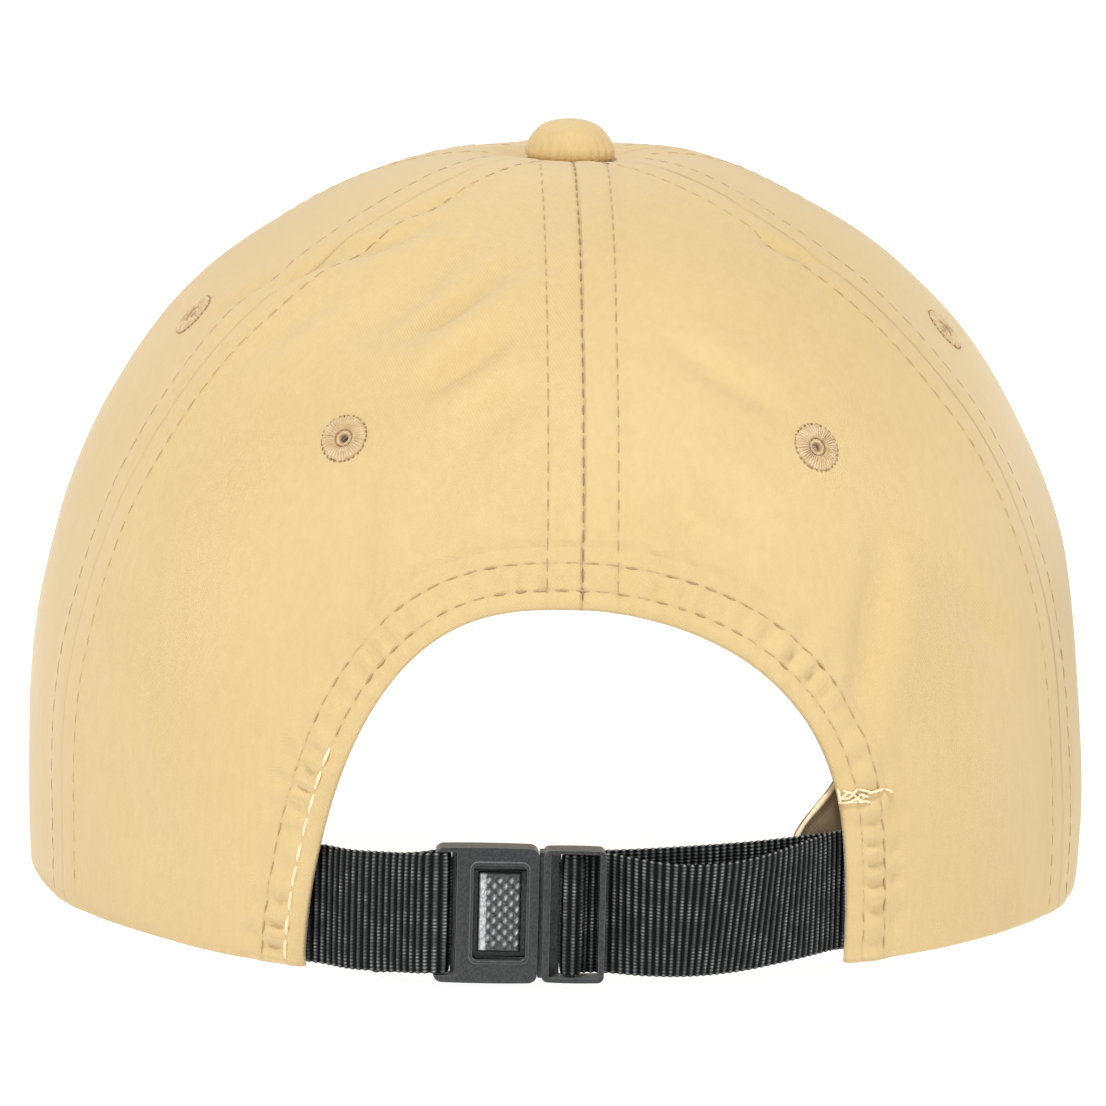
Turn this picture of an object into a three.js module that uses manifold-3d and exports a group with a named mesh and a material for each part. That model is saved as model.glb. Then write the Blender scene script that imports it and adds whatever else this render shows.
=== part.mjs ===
// Six-panel baseball cap with an arch opening, a webbing strap and a push-release buckle.
// Millimetres. +Z is up, the visor points to -Y, the wearer's left is +X, and Z = 0 is the
// table the cap rests on. Angles around the crown are measured from the rear (+Y) towards +X.

import * as THREE from 'three';
import { mergeVertices } from 'three/addons/utils/BufferGeometryUtils.js';
import Module from 'manifold-3d';

const wasm = await Module();
wasm.setup();

// Crown shell
const HALF_WIDTH = 90;
const HALF_DEPTH = 100;
const CROWN_HEIGHT = 126;
const PLAN_EXPONENT = 1.935;
const HEIGHT_EXPONENT = 2.99;
const RIM_TUCK = 0.013;
const RIM_TUCK_HEIGHT = 39;
const TOP_HOLE_RADIUS = 2.6;
const DIMPLE_DEPTH = 4.0;
const DIMPLE_RADIUS = 15;
const PANEL_THICKNESS = 1.0;
const SEAM_GAP = 0.3;
const RIM_CLEARANCE = 0.5;

// Seams, as angles in degrees from the rear. The rear side seam leans back as it climbs.
const REAR_SIDE_SEAM = 69.5;
const REAR_SEAM_LEAN = 23;
const FRONT_SIDE_SEAM = 116;

// Arch opening at the rear
const ARCH_HEIGHT = 61;
const ARCH_LEFT = { halfWidth: 43.75, across: 2.9, up: 1.9 };
const ARCH_RIGHT = { halfWidth: 45, across: 1.8, up: 3.5 };

// Linings
const LINING_DEPTH = 1.5;
const LAYER_GAP = 0.2;
const TAPE_THICKNESS = 0.5;
const TAPE_HALF_WIDTH = 6;
const BUCKRAM_THICKNESS = 0.8;
const FACING_WIDTH = 8.5;
const SWEATBAND_DEPTH = 3.9;
const SWEATBAND_THICKNESS = 2.2;
const SWEATBAND_HEIGHT = 30;
const SWEATBAND_START = 39.5;

// Visor
const VISOR_LENGTH = 70;
const VISOR_HALF_WIDTH = 88;
const VISOR_WIDEST_Y = -82;
const VISOR_EXPONENT = 2.3;
const VISOR_BEND_RADIUS = 120;
const VISOR_SLOPE = 0.09;
const COVER_THICKNESS = 0.8;
const BOARD_THICKNESS = 2.0;
const VISOR_THICKNESS = 4.0;

// Eyelets
const EYELET_RADIUS = 4.0;
const EYELET_HOLE_RADIUS = 1.2;
const EYELET_PLACES = [
  ['back', 31, 84.7],
  ['side', 76, 97.5],
  ['front', 150, 98],
];

// Strap and buckle
const WEBBING_WIDTH = 20;
const WEBBING_THICKNESS = 1.0;
const STRAP_Z = 12.2;
const BUCKLE_Y = 99.1;
const BUCKLE_HEIGHT = 22.8;
const SOCKET_LEFT = 23.0;
const SOCKET_RIGHT = 6.2;
const SOCKET_THICKNESS = 4.6;
const PLUG_LEFT = 5.5;
const PLUG_RIGHT = -4.6;
const PLUG_THICKNESS = 4.4;

const DEGREE = Math.PI / 180;

const COLOURS = {
  fabric: 0xd9b87c,
  tape: 0xb89a66,
  lining: 0xc9ab76,
  buckram: 0xe8e4da,
  board: 0x2b2b2b,
  foam: 0xd8d2c4,
  thread: 0xc4a26a,
  metal: 0xb0b2b4,
  webbing: 0x1c1c1e,
  plastic: 0x2a2c2e,
};

function clamp(value, low, high) {
  return Math.min(high, Math.max(low, value));
}

function smoothstep(low, high, value) {
  const t = clamp((value - low) / (high - low), 0, 1);
  return t * t * (3 - 2 * t);
}

function lerp(a, b, t) {
  return a + (b - a) * t;
}

// ---------------------------------------------------------------- crown surface

function crownRadius(z) {
  const up = clamp(z / CROWN_HEIGHT, 0, 1);
  const round = (1 - up ** HEIGHT_EXPONENT) ** (1 / PLAN_EXPONENT);
  const tuck = Math.max(0, 1 - z / RIM_TUCK_HEIGHT);
  return round * (1 - RIM_TUCK * tuck * tuck);
}

// The button's rivet pulls the top down into a shallow dimple.
function dimple(x, y) {
  return DIMPLE_DEPTH * Math.exp(-(x * x + y * y) / (DIMPLE_RADIUS * DIMPLE_RADIUS));
}

function crownOuter(angle, z) {
  const r = crownRadius(z);
  const x = HALF_WIDTH * r * Math.sin(angle);
  const y = HALF_DEPTH * r * Math.cos(angle);
  return new THREE.Vector3(x, y, z - dimple(x, y));
}

// The angle of each seam at a height, on the wearer's left.
const SEAMS = {
  rear: () => 0,
  rearSide: (z) => (REAR_SIDE_SEAM - REAR_SEAM_LEAN * (z / CROWN_HEIGHT) ** 3) * DEGREE,
  frontSide: () => FRONT_SIDE_SEAM * DEGREE,
  front: () => Math.PI,
};

function crownNormal(angle, z) {
  const step = 0.01;
  const around = crownOuter(angle + step, z).sub(crownOuter(angle - step, z));
  const low = Math.max(z - 0.2, 0);
  const up = crownOuter(angle, Math.min(z + 0.2, CROWN_HEIGHT - 0.01)).sub(crownOuter(angle, low));
  return up.cross(around).normalize();
}

function crownPoint(angle, z, depth) {
  return crownOuter(angle, z).addScaledVector(crownNormal(angle, z), -depth);
}

function angleAt(x, z, depth = 0) {
  return Math.asin(clamp(x / (HALF_WIDTH * crownRadius(z) - depth), -1, 1));
}

const TOP_Z = CROWN_HEIGHT *
  (1 - (TOP_HOLE_RADIUS / HALF_WIDTH) ** PLAN_EXPONENT) ** (1 / HEIGHT_EXPONENT);

// Heights spaced evenly along the meridian from one height up to another.
function meridianHeights(low, high, count) {
  const samples = 300;
  const heights = [low];
  const lengths = [0];
  for (let k = 1; k <= samples; k += 1) {
    const rise = Math.sin((k / samples) * Math.PI * 0.5);
    const z = lerp(low, high, rise);
    const before = heights[k - 1];
    const across = HALF_WIDTH * (crownRadius(before) - crownRadius(z));
    heights.push(z);
    lengths.push(lengths[k - 1] + Math.hypot(z - before, across));
  }
  const result = [];
  let k = 0;
  for (let j = 0; j <= count; j += 1) {
    const target = (lengths[samples] * j) / count;
    while (k < samples - 1 && lengths[k + 1] < target) k += 1;
    const part = (target - lengths[k]) / (lengths[k + 1] - lengths[k]);
    result.push(lerp(heights[k], heights[k + 1], clamp(part, 0, 1)));
  }
  return result;
}

// ---------------------------------------------------------------- visor surface

const VISOR_END = crownOuter(FRONT_SIDE_SEAM * DEGREE, 12);
const VISOR_FRONT_Y = -HALF_DEPTH - VISOR_LENGTH;

function visorOutline(t) {
  const side = t < 0.5 ? 1 : -1;
  const s = 1 - Math.abs(2 * t - 1);
  const rear = 0.24;
  if (s < rear) {
    const y = lerp(VISOR_END.y, VISOR_WIDEST_Y, s / rear);
    const back = (y - VISOR_WIDEST_Y) / (VISOR_END.y - VISOR_WIDEST_Y);
    return [side * (VISOR_HALF_WIDTH - (VISOR_HALF_WIDTH - VISOR_END.x) * back * back), y];
  }
  const turn = ((s - rear) / (1 - rear)) * Math.PI * 0.5;
  const x = VISOR_HALF_WIDTH * Math.cos(turn) ** (2 / VISOR_EXPONENT);
  const forward = (VISOR_WIDEST_Y - VISOR_FRONT_Y) * Math.sin(turn) ** (2 / VISOR_EXPONENT);
  return [side * x, VISOR_WIDEST_Y - forward];
}

function visorDrop(x, y) {
  return -(x * x) / (2 * VISOR_BEND_RADIUS) + VISOR_SLOPE * (y + HALF_DEPTH);
}

// The visor's centre is lifted until its lowest edge just reaches the table.
function visorLift() {
  let lowest = 0;
  for (let k = 0; k <= 200; k += 1) {
    const [x, y] = visorOutline(k / 200);
    lowest = Math.min(lowest, visorDrop(x, y));
  }
  return VISOR_THICKNESS - lowest;
}

const VISOR_LIFT = visorLift();

function visorTop(x, y) {
  return VISOR_LIFT + visorDrop(x, y);
}

// Height of the crown's lower edge: on the table at the rear, on the visor at the front.
function rimHeight(angle, depth = 0) {
  const away = Math.abs(angle);
  const onVisor = smoothstep(75 * DEGREE, FRONT_SIDE_SEAM * DEGREE, away);
  const x = (HALF_WIDTH - depth) * Math.sin(away);
  const y = (HALF_DEPTH - depth) * Math.cos(away);
  return onVisor * (visorTop(x, y) + RIM_CLEARANCE);
}

// ---------------------------------------------------------------- solids

function toGeometry(positions, indices) {
  const geometry = new THREE.BufferGeometry();
  geometry.setAttribute('position', new THREE.Float32BufferAttribute(positions, 3));
  geometry.setIndex(indices);
  return geometry;
}

function signedVolume(geometry) {
  const p = geometry.attributes.position;
  const index = geometry.index;
  const corners = [new THREE.Vector3(), new THREE.Vector3(), new THREE.Vector3()];
  let total = 0;
  for (let k = 0; k < index.count; k += 3) {
    corners.forEach((corner, n) => corner.fromBufferAttribute(p, index.getX(k + n)));
    total += corners[0].dot(corners[1].clone().cross(corners[2]));
  }
  return total / 6;
}

function faceOutward(geometry) {
  if (signedVolume(geometry) < 0) {
    const array = geometry.index.array;
    for (let k = 0; k < array.length; k += 3) {
      [array[k + 1], array[k + 2]] = [array[k + 2], array[k + 1]];
    }
  }
  return geometry;
}

// A closed sheet between two equal grids of points, indexed [i][j].
function slab(outer, inner) {
  const columns = outer.length;
  const rows = outer[0].length;
  const positions = [];
  [outer, inner].forEach((grid) => {
    grid.forEach((column) => column.forEach((point) => positions.push(point.x, point.y, point.z)));
  });
  const offset = columns * rows;
  const indices = [];
  const quad = (a, b, c, d) => indices.push(a, b, c, a, c, d);
  const at = (i, j) => i * rows + j;
  for (let i = 0; i < columns - 1; i += 1) {
    for (let j = 0; j < rows - 1; j += 1) {
      quad(at(i, j), at(i + 1, j), at(i + 1, j + 1), at(i, j + 1));
      quad(offset + at(i, j), offset + at(i, j + 1), offset + at(i + 1, j + 1), offset + at(i + 1, j));
    }
  }
  for (let i = 0; i < columns - 1; i += 1) {
    quad(at(i + 1, 0), at(i, 0), offset + at(i, 0), offset + at(i + 1, 0));
    const top = rows - 1;
    quad(at(i, top), at(i + 1, top), offset + at(i + 1, top), offset + at(i, top));
  }
  for (let j = 0; j < rows - 1; j += 1) {
    quad(at(0, j), at(0, j + 1), offset + at(0, j + 1), offset + at(0, j));
    const end = columns - 1;
    quad(at(end, j + 1), at(end, j), offset + at(end, j), offset + at(end, j + 1));
  }
  return faceOutward(toGeometry(positions, indices));
}

// A closed bar: one outline of points repeated along a run of stations, with flat ends.
function sweep(stations, outline2d) {
  const n = stations[0].length;
  const positions = [];
  stations.forEach((ring) => ring.forEach((point) => positions.push(point.x, point.y, point.z)));
  const indices = [];
  for (let k = 0; k < stations.length - 1; k += 1) {
    for (let m = 0; m < n; m += 1) {
      const next = (m + 1) % n;
      const a = k * n + m;
      const b = k * n + next;
      indices.push(a, b, b + n, a, b + n, a + n);
    }
  }
  const flat = outline2d.map(([u, v]) => new THREE.Vector2(u, v));
  const last = (stations.length - 1) * n;
  const clockwise = THREE.ShapeUtils.area(flat) < 0;
  THREE.ShapeUtils.triangulateShape(flat, []).forEach((triangle) => {
    const [a, b, c] = clockwise ? [...triangle].reverse() : triangle;
    indices.push(a, c, b, last + a, last + b, last + c);
  });
  return faceOutward(toGeometry(positions, indices));
}

function toManifold(geometry) {
  const bare = geometry.clone();
  bare.deleteAttribute('normal');
  bare.deleteAttribute('uv');
  const merged = mergeVertices(bare, 1e-4);
  return new wasm.Manifold(new wasm.Mesh({
    numProp: 3,
    vertProperties: new Float32Array(merged.attributes.position.array),
    triVerts: new Uint32Array(merged.index.array),
  }));
}

function fromManifold(solid) {
  const mesh = solid.getMesh();
  return toGeometry(Array.from(mesh.vertProperties), Array.from(mesh.triVerts));
}

function cut(geometry, cutters) {
  let solid = toManifold(geometry);
  cutters.forEach((cutter) => {
    solid = solid.subtract(cutter);
  });
  return fromManifold(solid);
}

function block(x0, x1, y0, y1, z0, z1) {
  const geometry = new THREE.BoxGeometry(Math.abs(x1 - x0), Math.abs(y1 - y0), Math.abs(z1 - z0));
  geometry.translate((x0 + x1) / 2, (y0 + y1) / 2, (z0 + z1) / 2);
  return toManifold(geometry);
}

// A plate with rounded corners in X and Z and bevelled faces in Y.
function roundedPlate(x0, x1, y0, y1, z0, z1, corner, bevel) {
  const width = x1 - x0 - 2 * bevel;
  const height = z1 - z0 - 2 * bevel;
  const r = corner - bevel;
  const shape = new THREE.Shape();
  shape.absarc(width / 2 - r, height / 2 - r, r, 0, Math.PI / 2);
  shape.absarc(-width / 2 + r, height / 2 - r, r, Math.PI / 2, Math.PI);
  shape.absarc(-width / 2 + r, -height / 2 + r, r, Math.PI, Math.PI * 1.5);
  shape.absarc(width / 2 - r, -height / 2 + r, r, Math.PI * 1.5, Math.PI * 2);
  const geometry = new THREE.ExtrudeGeometry(shape, {
    depth: y1 - y0 - 2 * bevel,
    bevelEnabled: true,
    bevelSize: bevel,
    bevelThickness: bevel,
    bevelSegments: 1,
    curveSegments: 3,
  });
  geometry.translate(0, 0, -(y1 - y0) / 2 + bevel);
  geometry.rotateX(Math.PI / 2);
  geometry.translate((x0 + x1) / 2, (y0 + y1) / 2, (z0 + z1) / 2);
  return toManifold(geometry);
}

// A closed band of webbing that follows a plan path of [x, y, lift] points.
function ribbon(path, zCentre) {
  const half = WEBBING_THICKNESS / 2;
  const tall = WEBBING_WIDTH / 2;
  const stations = path.map((point, k) => {
    const before = path[Math.max(k - 1, 0)];
    const after = path[Math.min(k + 1, path.length - 1)];
    const a = new THREE.Vector2(point[0] - before[0], point[1] - before[1]).normalize();
    const b = new THREE.Vector2(after[0] - point[0], after[1] - point[1]).normalize();
    if (k === 0) a.copy(b);
    if (k === path.length - 1) b.copy(a);
    const along = a.clone().add(b).normalize();
    const stretch = half / Math.max(along.dot(a), 0.6);
    const nx = -along.y * stretch;
    const ny = along.x * stretch;
    const z = zCentre + (point[2] ?? 0);
    return [
      new THREE.Vector3(point[0] + nx, point[1] + ny, z - tall),
      new THREE.Vector3(point[0] + nx, point[1] + ny, z + tall),
      new THREE.Vector3(point[0] - nx, point[1] - ny, z + tall),
      new THREE.Vector3(point[0] - nx, point[1] - ny, z - tall),
    ];
  });
  return sweep(stations, [[0, 0], [0, 1], [1, 1], [1, 0]]);
}

// ---------------------------------------------------------------- assembly helpers

const cap = new THREE.Group();
cap.name = 'baseball_cap';

function addMesh(name, geometry, colour) {
  const material = new THREE.MeshStandardMaterial({ color: COLOURS[colour], roughness: 0.8 });
  material.name = colour;
  const mesh = new THREE.Mesh(geometry, material);
  mesh.name = name;
  cap.add(mesh);
  return mesh;
}

// ---------------------------------------------------------------- crown panels

// A point on the arch's edge, or a set distance outside it, in the XZ plane.
function archPoint(turn, grow = 0) {
  const c = Math.cos(turn);
  const side = c > 0 ? ARCH_LEFT : ARCH_RIGHT;
  const x = Math.sign(c) * Math.abs(c) ** (2 / side.across);
  const z = Math.max(Math.sin(turn), 0) ** (2 / side.up);
  return [(side.halfWidth + grow) * x, (ARCH_HEIGHT + grow) * z];
}

function archCutter() {
  const shape = new THREE.Shape();
  const steps = 32;
  shape.moveTo(ARCH_LEFT.halfWidth, -5);
  for (let k = 0; k <= steps; k += 1) {
    shape.lineTo(...archPoint((k / steps) * Math.PI));
  }
  shape.lineTo(-ARCH_RIGHT.halfWidth, -5);
  const geometry = new THREE.ExtrudeGeometry(shape, { depth: 80, bevelEnabled: false });
  geometry.rotateX(Math.PI / 2);
  geometry.translate(0, 120, 0);
  return toManifold(geometry);
}

function eyeletCutter(angle, z, radius) {
  const geometry = new THREE.CylinderGeometry(radius, radius, 12, 20);
  const normal = crownNormal(angle, z);
  geometry.applyQuaternion(new THREE.Quaternion().setFromUnitVectors(new THREE.Vector3(0, 1, 0), normal));
  const centre = crownOuter(angle, z);
  geometry.translate(centre.x, centre.y, centre.z);
  return toManifold(geometry);
}

// A shell patch of the crown between two seams, kept a set distance from each. The sign is
// 1 on the wearer's left and -1 on the right.
function crownPatch(fromSeam, toSeam, sign, options) {
  const columns = options.columns;
  const rows = options.rows;
  const angleOf = (z, inset, part) => (
    sign * lerp(fromSeam(z) + inset, toSeam(z) - inset, part)
  );
  const faces = [options.depth, options.depth + options.thickness].map((depth) => {
    const grid = [];
    for (let i = 0; i <= columns; i += 1) {
      const low = rimHeight(angleOf(0, 0, i / columns)) + (options.rise ?? 0);
      const heights = meridianHeights(low, options.top ?? TOP_Z, rows);
      grid.push(heights.map((z, j) => {
        const inset = options.inset / Math.max(HALF_WIDTH * crownRadius(z), TOP_HOLE_RADIUS);
        const angle = angleOf(z, inset, i / columns);
        if (j > 0) return crownPoint(angle, z, depth);
        const flat = crownOuter(angle, z);
        const out = crownNormal(angle, z).setZ(0).normalize();
        flat.addScaledVector(out, -depth);
        flat.z = rimHeight(angle, depth) + (options.rise ?? 0);
        return flat;
      }));
    }
    return grid;
  });
  return slab(faces[0], faces[1]);
}

function addPanels() {
  const arch = archCutter();
  const spans = [
    ['back', SEAMS.rear, SEAMS.rearSide],
    ['side', SEAMS.rearSide, SEAMS.frontSide],
    ['front', SEAMS.frontSide, SEAMS.front],
  ];
  spans.forEach(([place, from, to]) => {
    [['left', 1], ['right', -1]].forEach(([side, sign]) => {
      const patch = crownPatch(from, to, sign, {
        depth: 0,
        thickness: PANEL_THICKNESS,
        inset: SEAM_GAP / 2,
        columns: 13,
        rows: 22,
      });
      const [, angle, z] = EYELET_PLACES.find((entry) => entry[0] === place);
      const cutters = [eyeletCutter(sign * angle * DEGREE, z, EYELET_RADIUS + SEAM_GAP)];
      if (place === 'back') cutters.push(arch);
      addMesh(`panel_${place}_${side}`, cut(patch, cutters), 'fabric');
    });
  });
}

function addBuckram() {
  const [, angle, z] = EYELET_PLACES.find((entry) => entry[0] === 'front');
  [['left', 1], ['right', -1]].forEach(([side, sign]) => {
    const patch = crownPatch(SEAMS.frontSide, SEAMS.front, sign, {
      depth: LINING_DEPTH,
      thickness: BUCKRAM_THICKNESS,
      inset: TAPE_HALF_WIDTH + SEAM_GAP,
      rise: 1,
      top: 118,
      columns: 8,
      rows: 10,
    });
    const hole = eyeletCutter(sign * angle * DEGREE, z, EYELET_RADIUS + SEAM_GAP);
    addMesh(`buckram_${side}`, cut(patch, [hole]), 'buckram');
  });
}

// ---------------------------------------------------------------- seam tapes

function tapeRun(points) {
  const depth = LINING_DEPTH;
  const grids = [depth, depth + TAPE_THICKNESS].map((d) => {
    const columns = [-1, 0, 1].map((across) => points.map(([angle, z]) => {
      const centre = crownPoint(angle, z, d);
      const sideways = new THREE.Vector3(Math.cos(angle) * HALF_WIDTH, -Math.sin(angle) * HALF_DEPTH, 0);
      sideways.normalize();
      const radius = HALF_WIDTH * crownRadius(z);
      if (radius < 16) return centre.addScaledVector(sideways, across * TAPE_HALF_WIDTH);
      const turn = (across * TAPE_HALF_WIDTH) / radius;
      return crownPoint(angle + turn, z, d);
    }));
    return columns;
  });
  return slab(grids[0], grids[1]);
}

function addTapes() {
  const sideEnd = 14.8 / HALF_WIDTH;
  const sideTop = CROWN_HEIGHT * (1 - sideEnd ** PLAN_EXPONENT) ** (1 / HEIGHT_EXPONENT);
  [['rear', SEAMS.rearSide], ['front', SEAMS.frontSide]].forEach(([place, seam]) => {
    [['left', 1], ['right', -1]].forEach(([side, sign]) => {
      const low = rimHeight(sign * seam(0)) + 2;
      const points = meridianHeights(low, sideTop, 14).map((z) => [sign * seam(z), z]);
      addMesh(`seam_tape_${place}_${side}`, tapeRun(points), 'tape');
    });
  });
  const rear = meridianHeights(ARCH_HEIGHT + FACING_WIDTH + 2, TOP_Z, 8).map((z) => [0, z]);
  const front = meridianHeights(rimHeight(Math.PI) + 2, TOP_Z, 14).map((z) => [Math.PI, z]);
  addMesh('seam_tape_centre', centreTape(rear, front), 'tape');
}

// One tape runs from the arch over the top to the front edge.
function centreTape(rear, front) {
  const depth = LINING_DEPTH;
  const line = [...rear, ...[...front].reverse()];
  const grids = [depth, depth + TAPE_THICKNESS].map((d) => [-1, 0, 1].map((across) => (
    line.map(([angle, z]) => {
      const centre = crownPoint(angle, z, d);
      const x = across * TAPE_HALF_WIDTH;
      const radius = HALF_WIDTH * crownRadius(z);
      if (radius < 16) {
        const sag = (x * x) / (2 * 60);
        return new THREE.Vector3(x, centre.y, centre.z - sag);
      }
      const turn = Math.cos(angle) * (x / radius);
      return crownPoint(angle + turn, z, d);
    })
  )));
  const hole = new THREE.CylinderGeometry(TOP_HOLE_RADIUS, TOP_HOLE_RADIUS, 12, 20);
  hole.rotateX(Math.PI / 2);
  hole.translate(0, 0, CROWN_HEIGHT - 2);
  return cut(slab(grids[0], grids[1]), [toManifold(hole)]);
}

// ---------------------------------------------------------------- arch facing and sweatband

function addArchFacing() {
  const depth = LINING_DEPTH;
  const steps = 30;
  const grids = [depth, depth + TAPE_THICKNESS].map((d) => {
    const grid = [];
    for (let i = 0; i <= steps; i += 1) {
      const turn = lerp(0.05, Math.PI - 0.05, i / steps);
      grid.push([1, 1 + FACING_WIDTH / 2, 1 + FACING_WIDTH].map((grow) => {
        const [x, z] = archPoint(turn, grow);
        return crownPoint(angleAt(x, z, d), z, d);
      }));
    }
    return grid;
  });
  addMesh('arch_facing', slab(grids[0], grids[1]), 'tape');
}

// Sweep a section of [depth, height] corners round the inside of the rim.
function roundTheRim(section, startAngle, count) {
  const stations = [];
  for (let k = 0; k <= count; k += 1) {
    const angle = lerp(startAngle, 2 * Math.PI - startAngle, k / count);
    const wrapped = angle > Math.PI ? angle - 2 * Math.PI : angle;
    const base = rimHeight(wrapped, SWEATBAND_DEPTH);
    stations.push(section.map(([depth, height]) => {
      const z = base + height;
      const point = crownOuter(wrapped, z);
      const out = crownNormal(wrapped, z).setZ(0).normalize();
      return point.addScaledVector(out, -depth);
    }));
  }
  return sweep(stations, section);
}

function addSweatband() {
  const near = SWEATBAND_DEPTH;
  const far = SWEATBAND_DEPTH + SWEATBAND_THICKNESS;
  const skin = 0.7;
  const low = 0.6;
  const high = low + SWEATBAND_HEIGHT;
  const cover = [
    [near, low],
    [far, low],
    [far, high],
    [near, high],
    [near, high - skin],
    [far - skin, high - skin],
    [far - skin, low + skin],
    [near, low + skin],
  ];
  addMesh('sweatband_cover', roundTheRim(cover, SWEATBAND_START * DEGREE, 48), 'lining');
  const gap = LAYER_GAP + 0.05;
  const padding = [
    [near + gap, low + skin + gap],
    [far - skin - gap, low + skin + gap],
    [far - skin - gap, high - skin - gap],
    [near + gap, high - skin - gap],
  ];
  addMesh('sweatband_padding', roundTheRim(padding, SWEATBAND_START * DEGREE, 48), 'foam');
}

// Inner wall of the pocket that holds the strap's free end, with a slanted leading edge.
function addTailPocket() {
  const depth = 5.3;
  const low = 1;
  const high = 34;
  const grids = [depth, depth + TAPE_THICKNESS].map((d) => {
    const grid = [];
    for (let i = 0; i <= 6; i += 1) {
      const column = [];
      for (let j = 0; j <= 5; j += 1) {
        const z = lerp(low, high, j / 5);
        const slant = smoothstep(22, high, z) * 6.5;
        const lead = -(ARCH_RIGHT.halfWidth - 9 + slant);
        const x = lerp(lead, -HALF_WIDTH * Math.sin(36 * DEGREE) * 0.95, i / 6);
        column.push(crownPoint(angleAt(x, z, d), z, d));
      }
      grid.push(column);
    }
    return grid;
  });
  addMesh('tail_pocket', slab(grids[0], grids[1]), 'lining');
}

// ---------------------------------------------------------------- visor

// A visor layer between two depths below the visor's top face. The lip is the extra depth
// range that the outermost strip takes, so that the two covers meet over the board's edge.
function visorLayer(top, bottom, options) {
  const inset = options.inset ?? 0;
  const spans = options.lip
    ? [0, 0.25, 0.5, 0.75, 'step', 'lip', 1]
    : [0, 0.25, 0.5, 0.75, 1];
  const columns = 36;
  const upper = [];
  const lower = [];
  for (let i = 0; i <= columns; i += 1) {
    const t = lerp(options.end ?? 0, 1 - (options.end ?? 0), i / columns);
    const angle = lerp(FRONT_SIDE_SEAM, 360 - FRONT_SIDE_SEAM, t) * DEGREE;
    const inner = crownOuter(angle, 18);
    inner.addScaledVector(crownNormal(angle, 18).setZ(0).normalize(), -1.5);
    const [ox, oy] = visorOutline(t);
    const outer = new THREE.Vector3(ox, oy, 0);
    inner.z = 0;
    const width = outer.distanceTo(inner);
    const upperColumn = [];
    const lowerColumn = [];
    spans.forEach((span) => {
      let along = span;
      if (span === 'step') along = Math.max(0.8, 1 - 1.3 / Math.max(width, 3));
      if (span === 'lip') along = Math.max(0.86, 1 - 1.1 / Math.max(width, 3));
      if (typeof span === 'number' && inset > 0) along = span * (1 - inset / Math.max(width, 3));
      const lipped = span === 'lip' || (options.lip && span === 1);
      const high = lipped ? options.lip[0] : top;
      const low = lipped ? options.lip[1] : bottom;
      const x = lerp(inner.x, outer.x, along);
      const y = lerp(inner.y, outer.y, along);
      const z = visorTop(x, y);
      upperColumn.push(new THREE.Vector3(x, y, z - high));
      lowerColumn.push(new THREE.Vector3(x, y, z - low));
    });
    upper.push(upperColumn);
    lower.push(lowerColumn);
  }
  return slab(upper, lower);
}

function addVisor() {
  const boardTop = COVER_THICKNESS + LAYER_GAP;
  const boardBottom = boardTop + BOARD_THICKNESS;
  const underTop = VISOR_THICKNESS - COVER_THICKNESS;
  const middle = VISOR_THICKNESS / 2;
  const upper = visorLayer(0, COVER_THICKNESS, { lip: [0, middle - 0.15] });
  const under = visorLayer(underTop, VISOR_THICKNESS, { lip: [middle + 0.15, VISOR_THICKNESS] });
  addMesh('visor_upper_cover', upper, 'fabric');
  addMesh('visor_board', visorLayer(boardTop, boardBottom, { inset: 1.8, end: 0.02 }), 'board');
  addMesh('visor_under_cover', under, 'fabric');
}

// ---------------------------------------------------------------- eyelets and button

function eyeletGeometry(angle, z) {
  const r0 = EYELET_HOLE_RADIUS;
  const r1 = EYELET_RADIUS;
  const half = PANEL_THICKNESS / 2 + 0.35;
  const profile = [
    [r0, 0],
    [r0 + 0.5, -half],
    [r1 - 0.5, -half],
    [r1, 0],
    [r1 - 0.5, half],
    [r0 + 0.5, half],
    [r0, 0],
  ].map(([r, y]) => new THREE.Vector2(r, y));
  const geometry = new THREE.LatheGeometry(profile, 18);
  const normal = crownNormal(angle, z);
  geometry.applyQuaternion(new THREE.Quaternion().setFromUnitVectors(new THREE.Vector3(0, 1, 0), normal));
  const centre = crownPoint(angle, z, PANEL_THICKNESS / 2);
  geometry.translate(centre.x, centre.y, centre.z);
  return fromManifold(toManifold(geometry));
}

function addEyelets() {
  EYELET_PLACES.forEach(([place, angle, z]) => {
    addMesh(`eyelet_${place}_left`, eyeletGeometry(angle * DEGREE, z), 'thread');
    addMesh(`eyelet_${place}_right`, eyeletGeometry(-angle * DEGREE, z), 'thread');
  });
}

function turned(profile, segments, z) {
  const geometry = new THREE.LatheGeometry(profile.map(([r, y]) => new THREE.Vector2(r, y)), segments);
  geometry.rotateX(Math.PI / 2);
  geometry.translate(0, 0, z);
  return faceOutward(fromManifold(toManifold(geometry)));
}

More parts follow.
